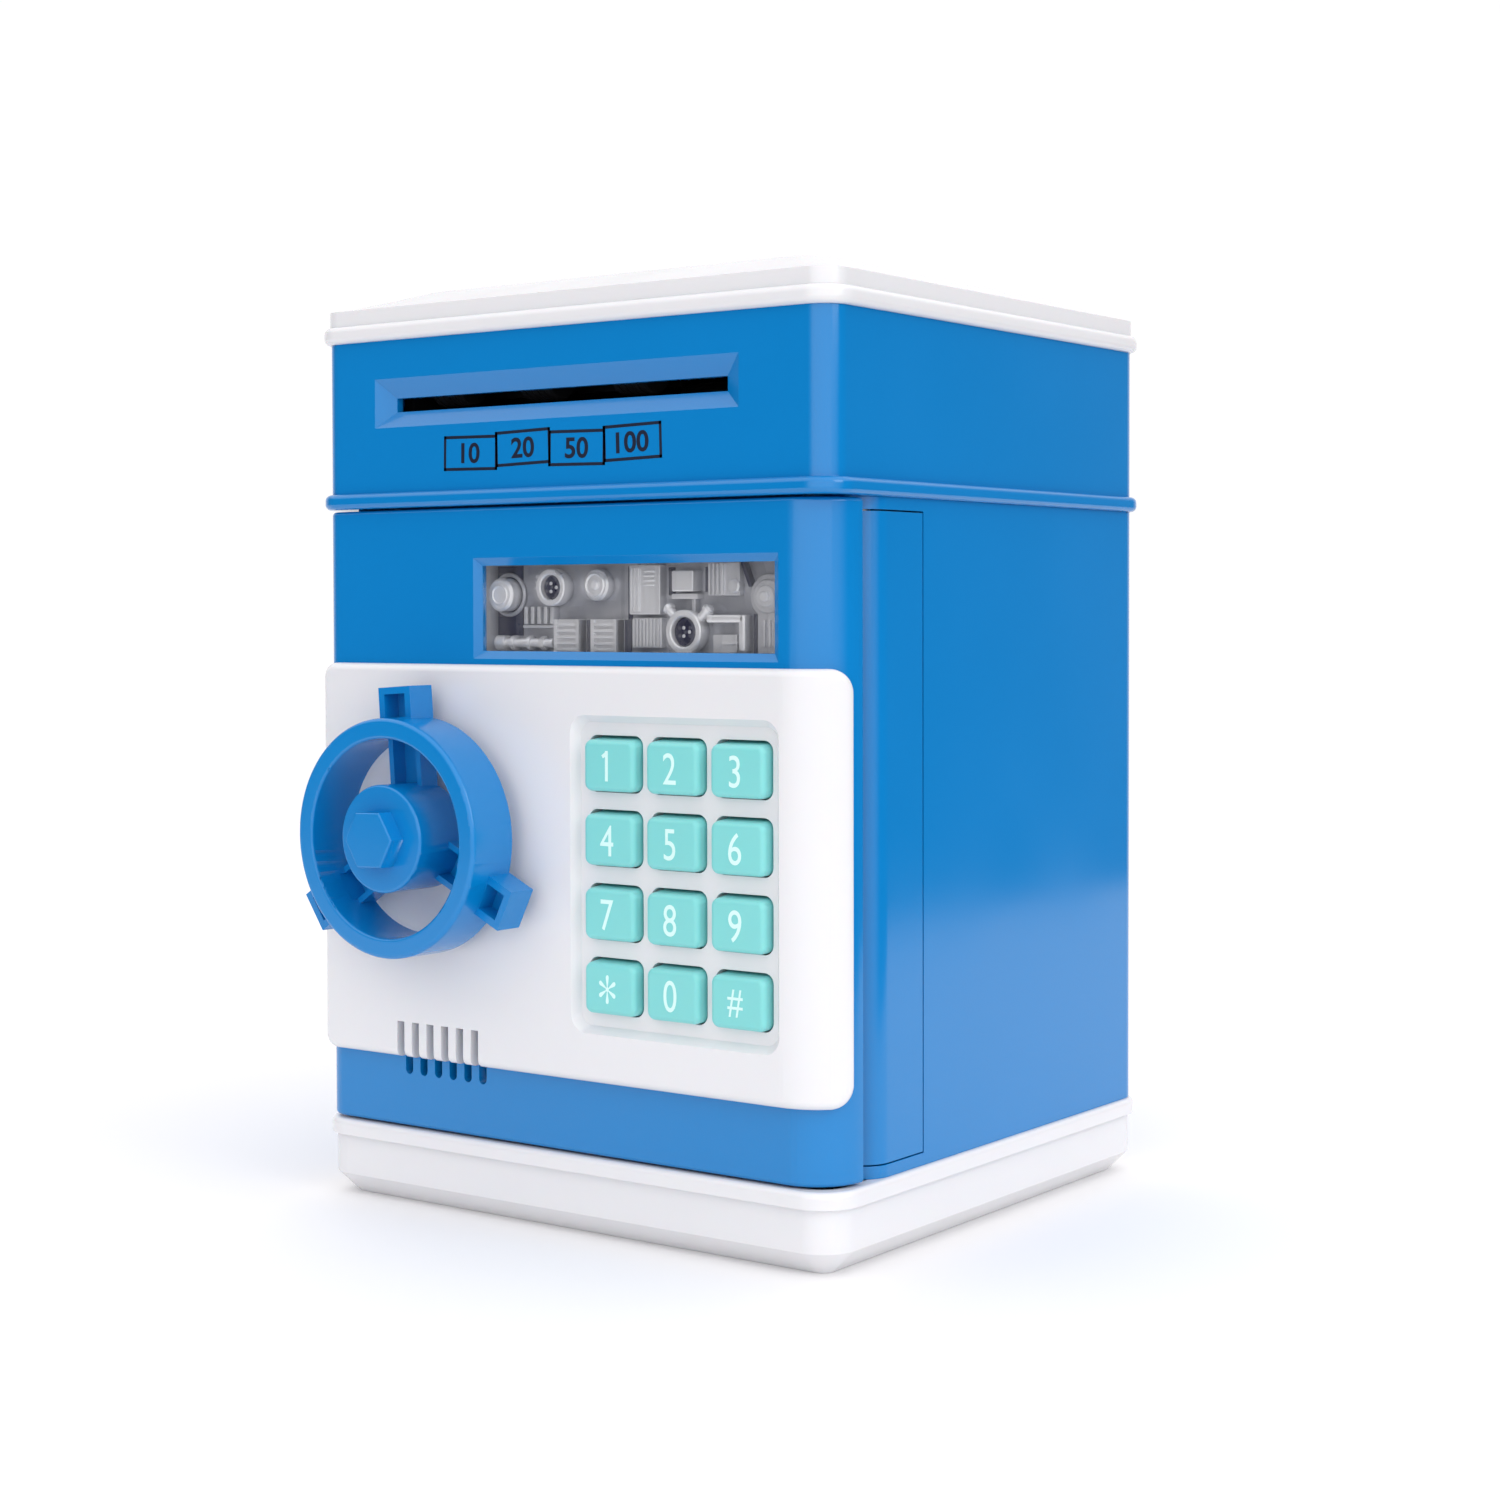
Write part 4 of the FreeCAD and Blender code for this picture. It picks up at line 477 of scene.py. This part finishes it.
def lettering(mark, height, stretch, heavier=0.0):
    """Flat work of a mark, centred on the origin in the XY plane, as a mesh."""
    bpy.ops.object.select_all(action="DESELECT")
    bpy.ops.object.text_add()
    text = bpy.context.active_object
    text.data.body = mark
    text.data.size = height * 1.38
    text.data.extrude = 0.02 * MM
    text.data.offset = heavier
    text.data.resolution_u = 6
    bpy.ops.object.convert(target="MESH")
    text = bpy.context.active_object
    middle = sum((Vector(corner) for corner in text.bound_box), Vector()) / 8
    text.data.transform(Matrix.Diagonal((stretch, 1.0, 1.0, 1.0)) @ Matrix.Translation(-middle))
    close(text)
    return text


def note_print():
    """Four fanned note outlines with their values, printed under the note slot."""
    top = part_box("upper_housing")[1].z
    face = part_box("door_shell")[0].y
    left, right, below_top = -29.6 * MM, 25.6 * MM, 23.6 * MM
    pitch = (right - left) / len(NOTE_VALUES)
    across, up = (pitch + 0.5 * MM) / 2, 3.5 * MM
    line, thick = 0.6 * MM, 0.02 * MM
    outline = (((-across, -up), (across, -up + line)), ((-across, up - line), (across, up)),
               ((-across, -up), (-across + line, up)), ((across - line, -up), (across, up)))
    for n, mark in enumerate(NOTE_VALUES):
        bars = [block((x0, y0, -thick), (x1, y1, thick)) for (x0, y0), (x1, y1) in outline]
        value = lettering(mark, 4.0 * MM, 1.1, 0.12 * MM)
        note = joined([value] + bars)
        tilt = Matrix.Rotation(math.radians(1.5 if n % 2 else -1.0), 4, "Z")
        centre = Vector((left + pitch * (n + 0.5), face - 0.01 * MM,
                         top - below_top + (0.3 if n % 2 else -0.3) * MM))
        note.data.transform(Matrix.Translation(centre) @ BACKWARD @ tilt)
        finished(note, f"note_print_{mark}", "ink", "cabinet")


def window_pane():
    """The clear pane, with polished edges."""
    piece = merged_copy("window_lens")
    soften(piece, 0.15 * MM)
    smooth(piece)
    finished(piece, "clear_pane", "clear_styrene", "door", ("window_lens",))


def machinery():
    """Moulded make-believe machinery behind the window, silvered all over, with dark strips of painted
    shade in its gaps.

    Each shape is placed by millimetres across and up from the window's lower left corner, and
    its depth is how far it stands out from the plate.
    """
    low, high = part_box("machinery_insert")
    plate = high.y - PLATE_THICK
    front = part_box("window_lens")[1].y + 0.15 * MM
    left, bottom = low.x + 2 * MM, low.z + 2 * MM
    work = []

    def at(across, up, depth=0.0):
        return Vector((left + across * MM, plate - depth * MM, bottom + up * MM))

    def slab(across, up, wide, tall, depth, edge=0.15):
        work.append(block(at(across, up, depth), at(across + wide, up + tall, -0.2), edge * MM))

    def drum(across, up, radius, depth, edge=0.3):
        spot = at(across, up)
        work.append(disc(spot, "y", plate - depth * MM, plate + 0.2 * MM, radius * MM, edge * MM))

    def bezel(across, up, outer, inner, start, depth):
        work.append(ring(at(across, up), "y", plate - depth * MM, plate - start * MM,
                         outer * MM, inner * MM, 0.25 * MM))

    def dark(across, up, wide, tall, depth, lean=0.0):
        """A dark strip of painted shade, leaning by so many degrees."""
        strip = block((-wide / 2 * MM, -depth * MM, -tall / 2 * MM),
                      (wide / 2 * MM, 0.1 * MM, tall / 2 * MM), 0.05 * MM)
        turn = Matrix.Rotation(math.radians(lean), 4, "Y")
        strip.data.transform(Matrix.Translation(at(across, up)) @ turn)
        painted_shade_and_gauge_centres.append(strip)

    def stub(across, up, length, radius, lean):
        """A short round pipe that leans away from upright."""
        spot = at(across, up, 1.8)
        pipe = disc((0, 0, 0), "z", 0, length * MM, radius * MM, 0.2 * MM, 20)
        collar = disc((0, 0, 0), "z", 0.6 * length * MM, 0.85 * length * MM, (radius + 0.3) * MM,
                      0.1 * MM, 20)
        for part in (pipe, collar):
            part.data.transform(Matrix.Translation(spot) @ Matrix.Rotation(math.radians(lean), 4, "Y"))
            work.append(part)

    painted_shade_and_gauge_centres = []
    work.append(block((low.x, plate, low.z), (high.x, high.y, high.z), 0.2 * MM))
    # Round knob on its base ring, then the ribs and the little louvre beside it.
    drum(2.4, 11.2, 3.3, 3.5, 0.5)
    bezel(2.4, 11.2, 4.4, 3.6, 0.0, 0.8)
    bezel(2.4, 11.2, 2.2, 1.5, 3.2, 3.7)
    for n in range(3):
        slab(9.8 + 0.35 * n, 12.2 + 1.1 * n, 4.4 - 0.7 * n, 0.7, 1.4 + 0.2 * n)
    for n in range(5):
        slab(7.4 + 1.7 * n, 5.4, 0.9, 3.4, 1.8)
    slab(6.6, 4.6, 9.2, 0.6, 1.2)
    # Gauges, each with a dark disc in its middle.
    for across, up, outer, inner, depth in ((15.6, 12.6, 3.7, 2.5, 3.5), (48.6, 3.9, 4.2, 2.9, 3.4)):
        drum(across, up, outer - 0.3, 1.6)
        bezel(across, up, outer, inner, 1.0, depth)
        painted_shade_and_gauge_centres.append(disc(at(across, up), "y", plate - (depth - 1.0) * MM, plate - 1.4 * MM,
                          inner * MM, 0.3 * MM))
        for n in range(3):
            angle = math.tau * n / 3
            drum(across + 0.9 * math.cos(angle), up + 0.9 * math.sin(angle), 0.36, depth - 0.8, 0.1)
    stub(45.8, 6.6, 3.2, 0.9, -42)
    stub(51.6, 6.4, 3.4, 0.9, 48)
    drum(26.3, 13.0, 3.1, 2.4, 0.4)
    bezel(26.3, 13.0, 2.5, 1.9, 2.2, 2.8)
    drum(26.3, 13.0, 1.0, 3.0)
    # Two louvred boxes.
    for across in (15.8, 25.2):
        slab(across, -0.6, 6.4, 6.9, 2.0)
        for n in range(5):
            slab(across + 0.7, 0.1 + 1.25 * n, 5.0, 0.55, 2.6, 0.1)
        slab(across, -0.6, 0.8, 6.9, 2.6, 0.1)
        slab(across + 5.6, -0.6, 0.8, 6.9, 2.6, 0.1)
    # Pipe along the bottom left, with its end cap, collar and nut.
    pipe = at(0, 1.6, 1.6)
    for start, end, radius, steps in ((1.5, 15.2, 0.9, 20), (0.6, 3.0, 1.5, 24), (4.6, 5.4, 1.5, 24),
                                      (8.8, 9.6, 1.4, 24), (12.0, 13.2, 1.4, 6)):
        first, last = at(start, 0).x, at(end, 0).x
        work.append(turned([(0, first), (radius * MM, first), (radius * MM, last), (0, last)],
                           pipe, "x", steps))
    # Right half, past the split: ribbed plates, a small box and its pipe.
    slab(34.6, 7.2, 7.6, 9.6, 2.2, 0.3)
    for n in range(3):
        slab(35.2 + 0.9 * n, 7.8, 0.4, 8.4, 2.6, 0.1)
    for n in range(4):
        slab(38.4, 15.4 - 0.9 * n, 2.6, 0.4, 2.5, 0.1)
    slab(35.0, 0.8, 7.2, 5.8, 1.6)
    for n in range(8):
        slab(35.4 + 0.85 * n, 1.0, 0.42, 5.4, 2.1, 0.1)
    slab(45.6, 11.6, 5.2, 4.0, 3.0, 0.3)
    slab(45.0, 10.2, 6.2, 1.0, 2.2)
    slab(49.4, 7.6, 0.9, 2.8, 1.6)
    slab(53.2, 10.8, 7.4, 6.2, 1.4)
    for n in range(4):
        slab(53.6 + 1.0 * n, 11.0, 0.45, 5.8, 2.0, 0.1)
    drum(59.4, 12.6, 1.4, 2.0)
    # L-shaped duct and the nested discs at the far right.
    slab(53.6, 5.6, 9.0, 1.6, 2.8, 0.5)
    slab(61.2, 0.2, 1.6, 7.0, 2.8, 0.5)
    slab(54.6, 0.0, 5.6, 3.4, 1.8)
    slab(57.0, 1.6, 3.6, 0.6, 2.3, 0.1)
    slab(64.6, 0.0, 7.4, 7.6, 1.2)
    for radius, depth in ((4.3, 1.0), (3.2, 1.6), (2.1, 2.2), (1.0, 2.8)):
        drum(67.0, 10.6, radius, depth, 0.2)
    # Dark strips of painted shade: in the well behind the knob, the split between the halves and the
    # gaps beside the boxes.
    dark(2.0, 10.0, 7.6, 14.0, 0.25)
    dark(33.4, 11.4, 1.0, 10.4, 0.3)
    dark(23.2, 2.9, 1.5, 6.6, 0.3)
    dark(32.8, 2.9, 1.6, 6.6, 0.3)
    dark(43.6, 13.6, 1.5, 5.4, 0.3)
    dark(52.1, 13.9, 0.8, 4.8, 0.3)
    dark(62.2, 14.8, 0.8, 5.0, 1.5, -22)
    dark(63.5, 3.6, 0.8, 7.4, 0.4)
    for n in range(4):
        slab(66.2 + 1.2 * n, 1.2, 0.5, 5.0, 1.8, 0.1)
    # The frame that carries the work behind the pane.
    for lower, upper in (((low.x, front, low.z), (low.x + 1.2 * MM, plate, high.z)),
                         ((high.x - 1.2 * MM, front, low.z), (high.x, plate, high.z)),
                         ((low.x, front, low.z), (high.x, plate, low.z + 1.2 * MM)),
                         ((low.x, front, high.z - 1.2 * MM), (high.x, plate, high.z))):
        work.append(block(lower, upper, 0.1 * MM))
    piece = joined(work)
    smooth(piece)
    finished(piece, "silvered_machinery", "metallised_styrene", "door", ("machinery_insert",))
    gaps = joined(painted_shade_and_gauge_centres)
    smooth(gaps)
    finished(gaps, "machinery_shade_and_gauge_centres", "painted_shade_and_gauge_dark", "door")


def loudspeaker():
    """Paper cone, roll surround, dust cap and pressed basket behind the slots."""
    low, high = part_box("speaker")
    centre = (low + high) / 2
    radius = (high.x - low.x) / 2
    front = low.y
    # Dust cap, cone, roll surround and flat back, as (share of the radius, mm behind the front).
    outline = ((0, 1.0), (0.28, 1.4), (0.32, 1.9), (0.72, 0.8), (0.80, 0.35), (0.88, 0.7),
               (0.9, 1.2), (0, 2.2))
    cone = turned([(share * radius, front + depth * MM) for share, depth in outline], centre, "y")
    smooth(cone, 40)
    finished(cone, "speaker_cone", "cloth", "door")
    basket = turned([(0.9 * radius, front + 0.1 * MM), (radius, front), (radius, front + 1.9 * MM),
                     (0.55 * radius, front + 2.2 * MM), (0.55 * radius, high.y), (0, high.y),
                     (0, front + 2.3 * MM), (0.9 * radius, front + 1.3 * MM),
                     (0.9 * radius, front + 0.1 * MM)], centre, "y")
    smooth(basket)
    finished(basket, "speaker_basket", "steel", "door", ("speaker",))


def screw(box, axis, head_first, head_height, head_radius):
    """A self-tapping screw with a domed head and a cross recess."""
    low, high = box
    centre = (low + high) / 2
    sense = 1 if head_first else -1
    top = (low if head_first else high).dot(AXIS[axis])
    end = (high if head_first else low).dot(AXIS[axis])
    shank = 1.25 * MM
    shape = [(0, top), (0.55 * head_radius, top + sense * 0.08 * head_height),
             (0.85 * head_radius, top + sense * 0.3 * head_height),
             (head_radius, top + sense * 0.75 * head_height),
             (head_radius, top + sense * head_height), (shank, top + sense * head_height)]
    pitch = 0.9 * MM
    place = top + sense * (head_height + pitch)
    while (end - place) * sense > 2 * pitch:
        shape += [(shank * 0.78, place), (shank, place + sense * pitch * 0.5)]
        place += sense * pitch
    shape += [(shank * 0.7, place), (0, end)]
    piece = turned(shape, centre, axis, 24)
    for long_way in (0, 1):
        reach = [0.18 * head_radius] * 3
        others = [n for n, letter in enumerate("xyz") if letter != axis]
        reach[others[long_way]] = 0.62 * head_radius
        reach["xyz".index(axis)] = 0.62 * head_height
        spot = centre.copy()
        spot["xyz".index(axis)] = top
        cut(piece, block(spot - Vector(reach), spot + Vector(reach)))
    smooth(piece)
    return piece


def fasteners():
    """Every visible screw, one piece for each set. The two numbers are the head's height and radius."""
    for node, axis, head_first, head_height, head_radius in (
            ("base_screws", "z", True, 1.4, 2.8), ("battery_door_screw", "z", True, 0.7, 2.5),
            ("housing_screws", "z", True, 1.6, 2.8), ("lid_screws", "z", True, 2.2, 2.7),
            ("door_screws", "y", False, 1.4, 2.6), ("panel_screws", "y", False, 1.2, 3.4),
            ("feeder_screws", "z", False, 1.4, 2.6)):
        made = [screw(box, axis, head_first, head_height * MM, head_radius * MM)
                for box in loose_boxes(node)]
        finished(joined(made), f"turned_{node}", "steel", BODY_OF[node], (node,))


def works():
    """Inner pieces: their own shapes, smoothed where they are round, and grooved rubber tyres."""
    for node in ("hinge_pins", "dial_shaft", "shaft_collar", "drive_pinion", "latch_bolt",
                 "lock_chassis", "lock_solenoid", "solenoid_plunger", "feeder_deck", "note_guide",
                 "feed_shaft", "pinch_shaft", "feed_gear", "motor_pinion", "feed_motor", "note_sensor",
                 "keypad_membrane", "circuit_board", "circuit_components", "indicator_leds",
                 "battery_contacts", "battery_cells"):
        moulding(node, 0.0, f"fitted_{node}")
    for node in ("feed_rollers", "pinch_rollers"):
        tyres = []
        for low, high in loose_boxes(node):
            centre = (low + high) / 2
            radius, bore, grooves = (high.z - low.z) / 2, 1.5 * MM, 5
            pitch = (high.x - low.x) / grooves
            profile = [(bore, low.x), (radius - 0.4 * MM, low.x)]
            for n in range(grooves):
                start = low.x + pitch * n
                profile += [(radius, start + 0.15 * pitch), (radius, start + 0.8 * pitch),
                            (radius - 0.3 * MM, start + 0.9 * pitch)]
            profile += [(radius - 0.4 * MM, high.x), (bore, high.x), (bore, low.x)]
            tyres.append(turned(profile, centre, "x"))
        piece = joined(tyres)
        smooth(piece)
        finished(piece, f"grooved_{node}", "rubber", BODY_OF[node], (node,))


# ------------------------------------------------------------------ stage
def soft_light(name, place, size, power, towards=(0, 0, 0.09)):
    lamp = bpy.data.lights.new(name, "AREA")
    lamp.shape = "RECTANGLE"
    lamp.size, lamp.size_y = size
    lamp.energy = power
    light = bpy.data.objects.new(name, lamp)
    light.location = place
    light.rotation_euler = (Vector(towards) - Vector(place)).to_track_quat("-Z", "Y").to_euler()
    bpy.context.scene.collection.objects.link(light)


def floor_board():
    """A matt white board that ends a little behind the safe and to its right."""
    left, right, front, back = -1.5, 0.34, -0.6, 0.6
    bpy.ops.object.select_all(action="DESELECT")
    bpy.ops.mesh.primitive_plane_add(size=1, location=((left + right) / 2, (front + back) / 2, 0))
    floor = bpy.context.active_object
    floor.scale = (right - left, back - front, 1)
    into_mesh(floor)
    floor.name = "floor"
    material, tree = new_material("Matt white board")
    place = add(tree, "ShaderNodeTexCoord")
    cloud = add(tree, "ShaderNodeTexNoise", {"Vector": (place, "Object"), "Scale": 3.0})
    shade = add(tree, "ShaderNodeMix", {0: (cloud, "Fac"), 6: (0.87, 0.865, 0.87, 1),
                                        7: (0.89, 0.885, 0.89, 1)}, data_type="RGBA")
    shader = add(tree, "ShaderNodeBsdfPrincipled", {"Base Color": (shade, 2), "Roughness": 0.7})
    add(tree, "ShaderNodeOutputMaterial", {"Surface": (shader, "BSDF")})
    floor.data.materials.append(material)


def surround():
    """A studio with white walls behind the safe and behind the camera, dim at the sides."""
    world = bpy.data.worlds.new("studio")
    world.use_nodes = True
    tree = world.node_tree
    tree.nodes.clear()
    look = add(tree, "ShaderNodeTexCoord")
    to_back_wall = (-0.588, 0.809, 0.0)
    facing = add(tree, "ShaderNodeVectorMath", {0: (look, "Generated"), 1: to_back_wall},
                 operation="DOT_PRODUCT")
    either = add(tree, "ShaderNodeMath", {0: (facing, "Value")}, operation="ABSOLUTE")
    behind = add(tree, "ShaderNodeMapRange", {
        "Value": (either, "Value"), "From Min": 0.35, "From Max": 0.85, "To Min": 0.08, "To Max": 1.02},
        interpolation_type="SMOOTHSTEP")
    split = add(tree, "ShaderNodeSeparateXYZ", {"Vector": (look, "Generated")})
    ceiling = add(tree, "ShaderNodeMapRange", {
        "Value": (split, "Z"), "From Min": 0.22, "From Max": 0.62, "To Min": 0.0, "To Max": 1.4},
        interpolation_type="SMOOTHSTEP")
    level = add(tree, "ShaderNodeMath", {0: (behind, "Result"), 1: (ceiling, "Result")},
                operation="MAXIMUM")
    glow = add(tree, "ShaderNodeBackground", {"Color": (1.0, 0.99, 1.0, 1),
                                              "Strength": (level, "Value")})
    add(tree, "ShaderNodeOutputWorld", {"Surface": (glow, "Background")})
    bpy.context.scene.world = world


def stage():
    """The floor, the lamps, the surround and the camera."""
    scene = bpy.context.scene
    floor_board()
    surround()
    soft_light("front softbox", (0.8, -1.3, 0.5), (2.6, 0.8), 3.0, (0.33, 0, 0.3))
    soft_light("right softbox", (1.25, -0.15, 0.7), (0.7, 0.8), 4.6)
    lens = bpy.data.cameras.new("camera")
    lens.lens, lens.sensor_width = 61.39, 36.0
    lens.shift_y = -0.0473
    lens.clip_start, lens.clip_end = 0.01, 100
    camera = bpy.data.objects.new("camera", lens)
    camera.location = (324.0 * MM, -441.9 * MM, 122.3 * MM)
    camera.rotation_euler = (math.radians(88.46), math.radians(0.13), math.radians(35.98))
    scene.collection.objects.link(camera)
    scene.camera = camera
    scene.view_settings.view_transform = "Standard"


# ------------------------------------------------------------------ the add-on
class SafeSizes(bpy.types.PropertyGroup):
    """Sizes of the added detail."""
    edge: bpy.props.FloatProperty(
        name="Edge", description="How far moulded edges are broken", default=0.2 * MM, unit="LENGTH")
    digit_height: bpy.props.FloatProperty(
        name="Mark height", description="Height of the marks on the keys", default=6.2 * MM,
        unit="LENGTH")


class SafeColours(bpy.types.PropertyGroup):
    """Colours of the mouldings and prints."""
    blue: bpy.props.FloatVectorProperty(
        name="Blue", description="Body and door", subtype="COLOR", default=linear("#047CC2"))
    dial: bpy.props.FloatVectorProperty(
        name="Dial", description="Dial", subtype="COLOR", default=linear("#037EC5"))
    white: bpy.props.FloatVectorProperty(
        name="White", description="Base, lid and front panel", subtype="COLOR",
        default=linear("#E3E3E6"))
    mint: bpy.props.FloatVectorProperty(
        name="Mint", description="Keys", subtype="COLOR", default=linear("#7FD3D2"))
    legend: bpy.props.FloatVectorProperty(
        name="Key print", description="Marks on the keys", subtype="COLOR", default=linear("#D5F7F3"))
    ink: bpy.props.FloatVectorProperty(
        name="Ink", description="Print under the note slot", subtype="COLOR",
        default=linear("#0B1730"))
    plating: bpy.props.FloatVectorProperty(
        name="Plating", description="Machinery behind the window", subtype="COLOR",
        default=linear("#E2E2E4"))


class SAFE_OT_shells(bpy.types.Operator):
    """Build the moulded shells and the dial"""
    bl_idname = "safe.shells"
    bl_label = "Shells and dial"

    def execute(self, context):
        shells()
        return {"FINISHED"}


class SAFE_OT_keys(bpy.types.Operator):
    """Build the twelve keys and their marks"""
    bl_idname = "safe.keys"
    bl_label = "Keys"

    def execute(self, context):
        key_caps()
        return {"FINISHED"}


class SAFE_OT_print(bpy.types.Operator):
    """Print the notes under the slot"""
    bl_idname = "safe.note_print"
    bl_label = "Note print"

    def execute(self, context):
        note_print()
        return {"FINISHED"}


class SAFE_OT_window(bpy.types.Operator):
    """Build the pane and the machinery behind it"""
    bl_idname = "safe.window"
    bl_label = "Window and machinery"

    def execute(self, context):
        window_pane()
        machinery()
        return {"FINISHED"}


class SAFE_OT_speaker(bpy.types.Operator):
    """Build the loudspeaker"""
    bl_idname = "safe.speaker"
    bl_label = "Loudspeaker"

    def execute(self, context):
        loudspeaker()
        return {"FINISHED"}


class SAFE_OT_fasteners(bpy.types.Operator):
    """Build every set of screws"""
    bl_idname = "safe.fasteners"
    bl_label = "Screws"

    def execute(self, context):
        fasteners()
        return {"FINISHED"}


class SAFE_OT_works(bpy.types.Operator):
    """Build the lock, the feeder and the electronics"""
    bl_idname = "safe.works"
    bl_label = "Inner works"

    def execute(self, context):
        works()
        return {"FINISHED"}


class SAFE_OT_stage(bpy.types.Operator):
    """Set the floor, the lamps and the camera"""
    bl_idname = "safe.stage"
    bl_label = "Stage"

    def execute(self, context):
        stage()
        return {"FINISHED"}


OPERATORS = (SAFE_OT_shells, SAFE_OT_keys, SAFE_OT_print, SAFE_OT_window, SAFE_OT_speaker,
             SAFE_OT_fasteners, SAFE_OT_works, SAFE_OT_stage)


class SAFE_PT_panel(bpy.types.Panel):
    """The pieces of the safe, each with its own button"""
    bl_idname = "SAFE_PT_panel"
    bl_label = "Toy Safe"
    bl_space_type = "VIEW_3D"
    bl_region_type = "UI"
    bl_category = "Toy Safe"

    def draw(self, context):
        for group in (context.scene.safe_sizes, context.scene.safe_colours):
            for name in group.__annotations__:
                self.layout.prop(group, name)
        for operator in OPERATORS:
            self.layout.operator(operator.bl_idname)


CLASSES = (SafeSizes, SafeColours) + OPERATORS + (SAFE_PT_panel,)
MATERIALS = {}


def register():
    for item in CLASSES:
        bpy.utils.register_class(item)
    bpy.types.Scene.safe_sizes = bpy.props.PointerProperty(type=SafeSizes)
    bpy.types.Scene.safe_colours = bpy.props.PointerProperty(type=SafeColours)


def unregister():
    del bpy.types.Scene.safe_sizes
    del bpy.types.Scene.safe_colours
    for item in reversed(CLASSES):
        bpy.utils.unregister_class(item)


def main():
    register()
    MATERIALS.update(make_materials())
    bpy.ops.safe.shells()
    bpy.ops.safe.keys()
    bpy.ops.safe.note_print()
    bpy.ops.safe.window()
    bpy.ops.safe.speaker()
    bpy.ops.safe.fasteners()
    bpy.ops.safe.works()
    bpy.ops.safe.stage()


if __name__ == "__main__":
    main()
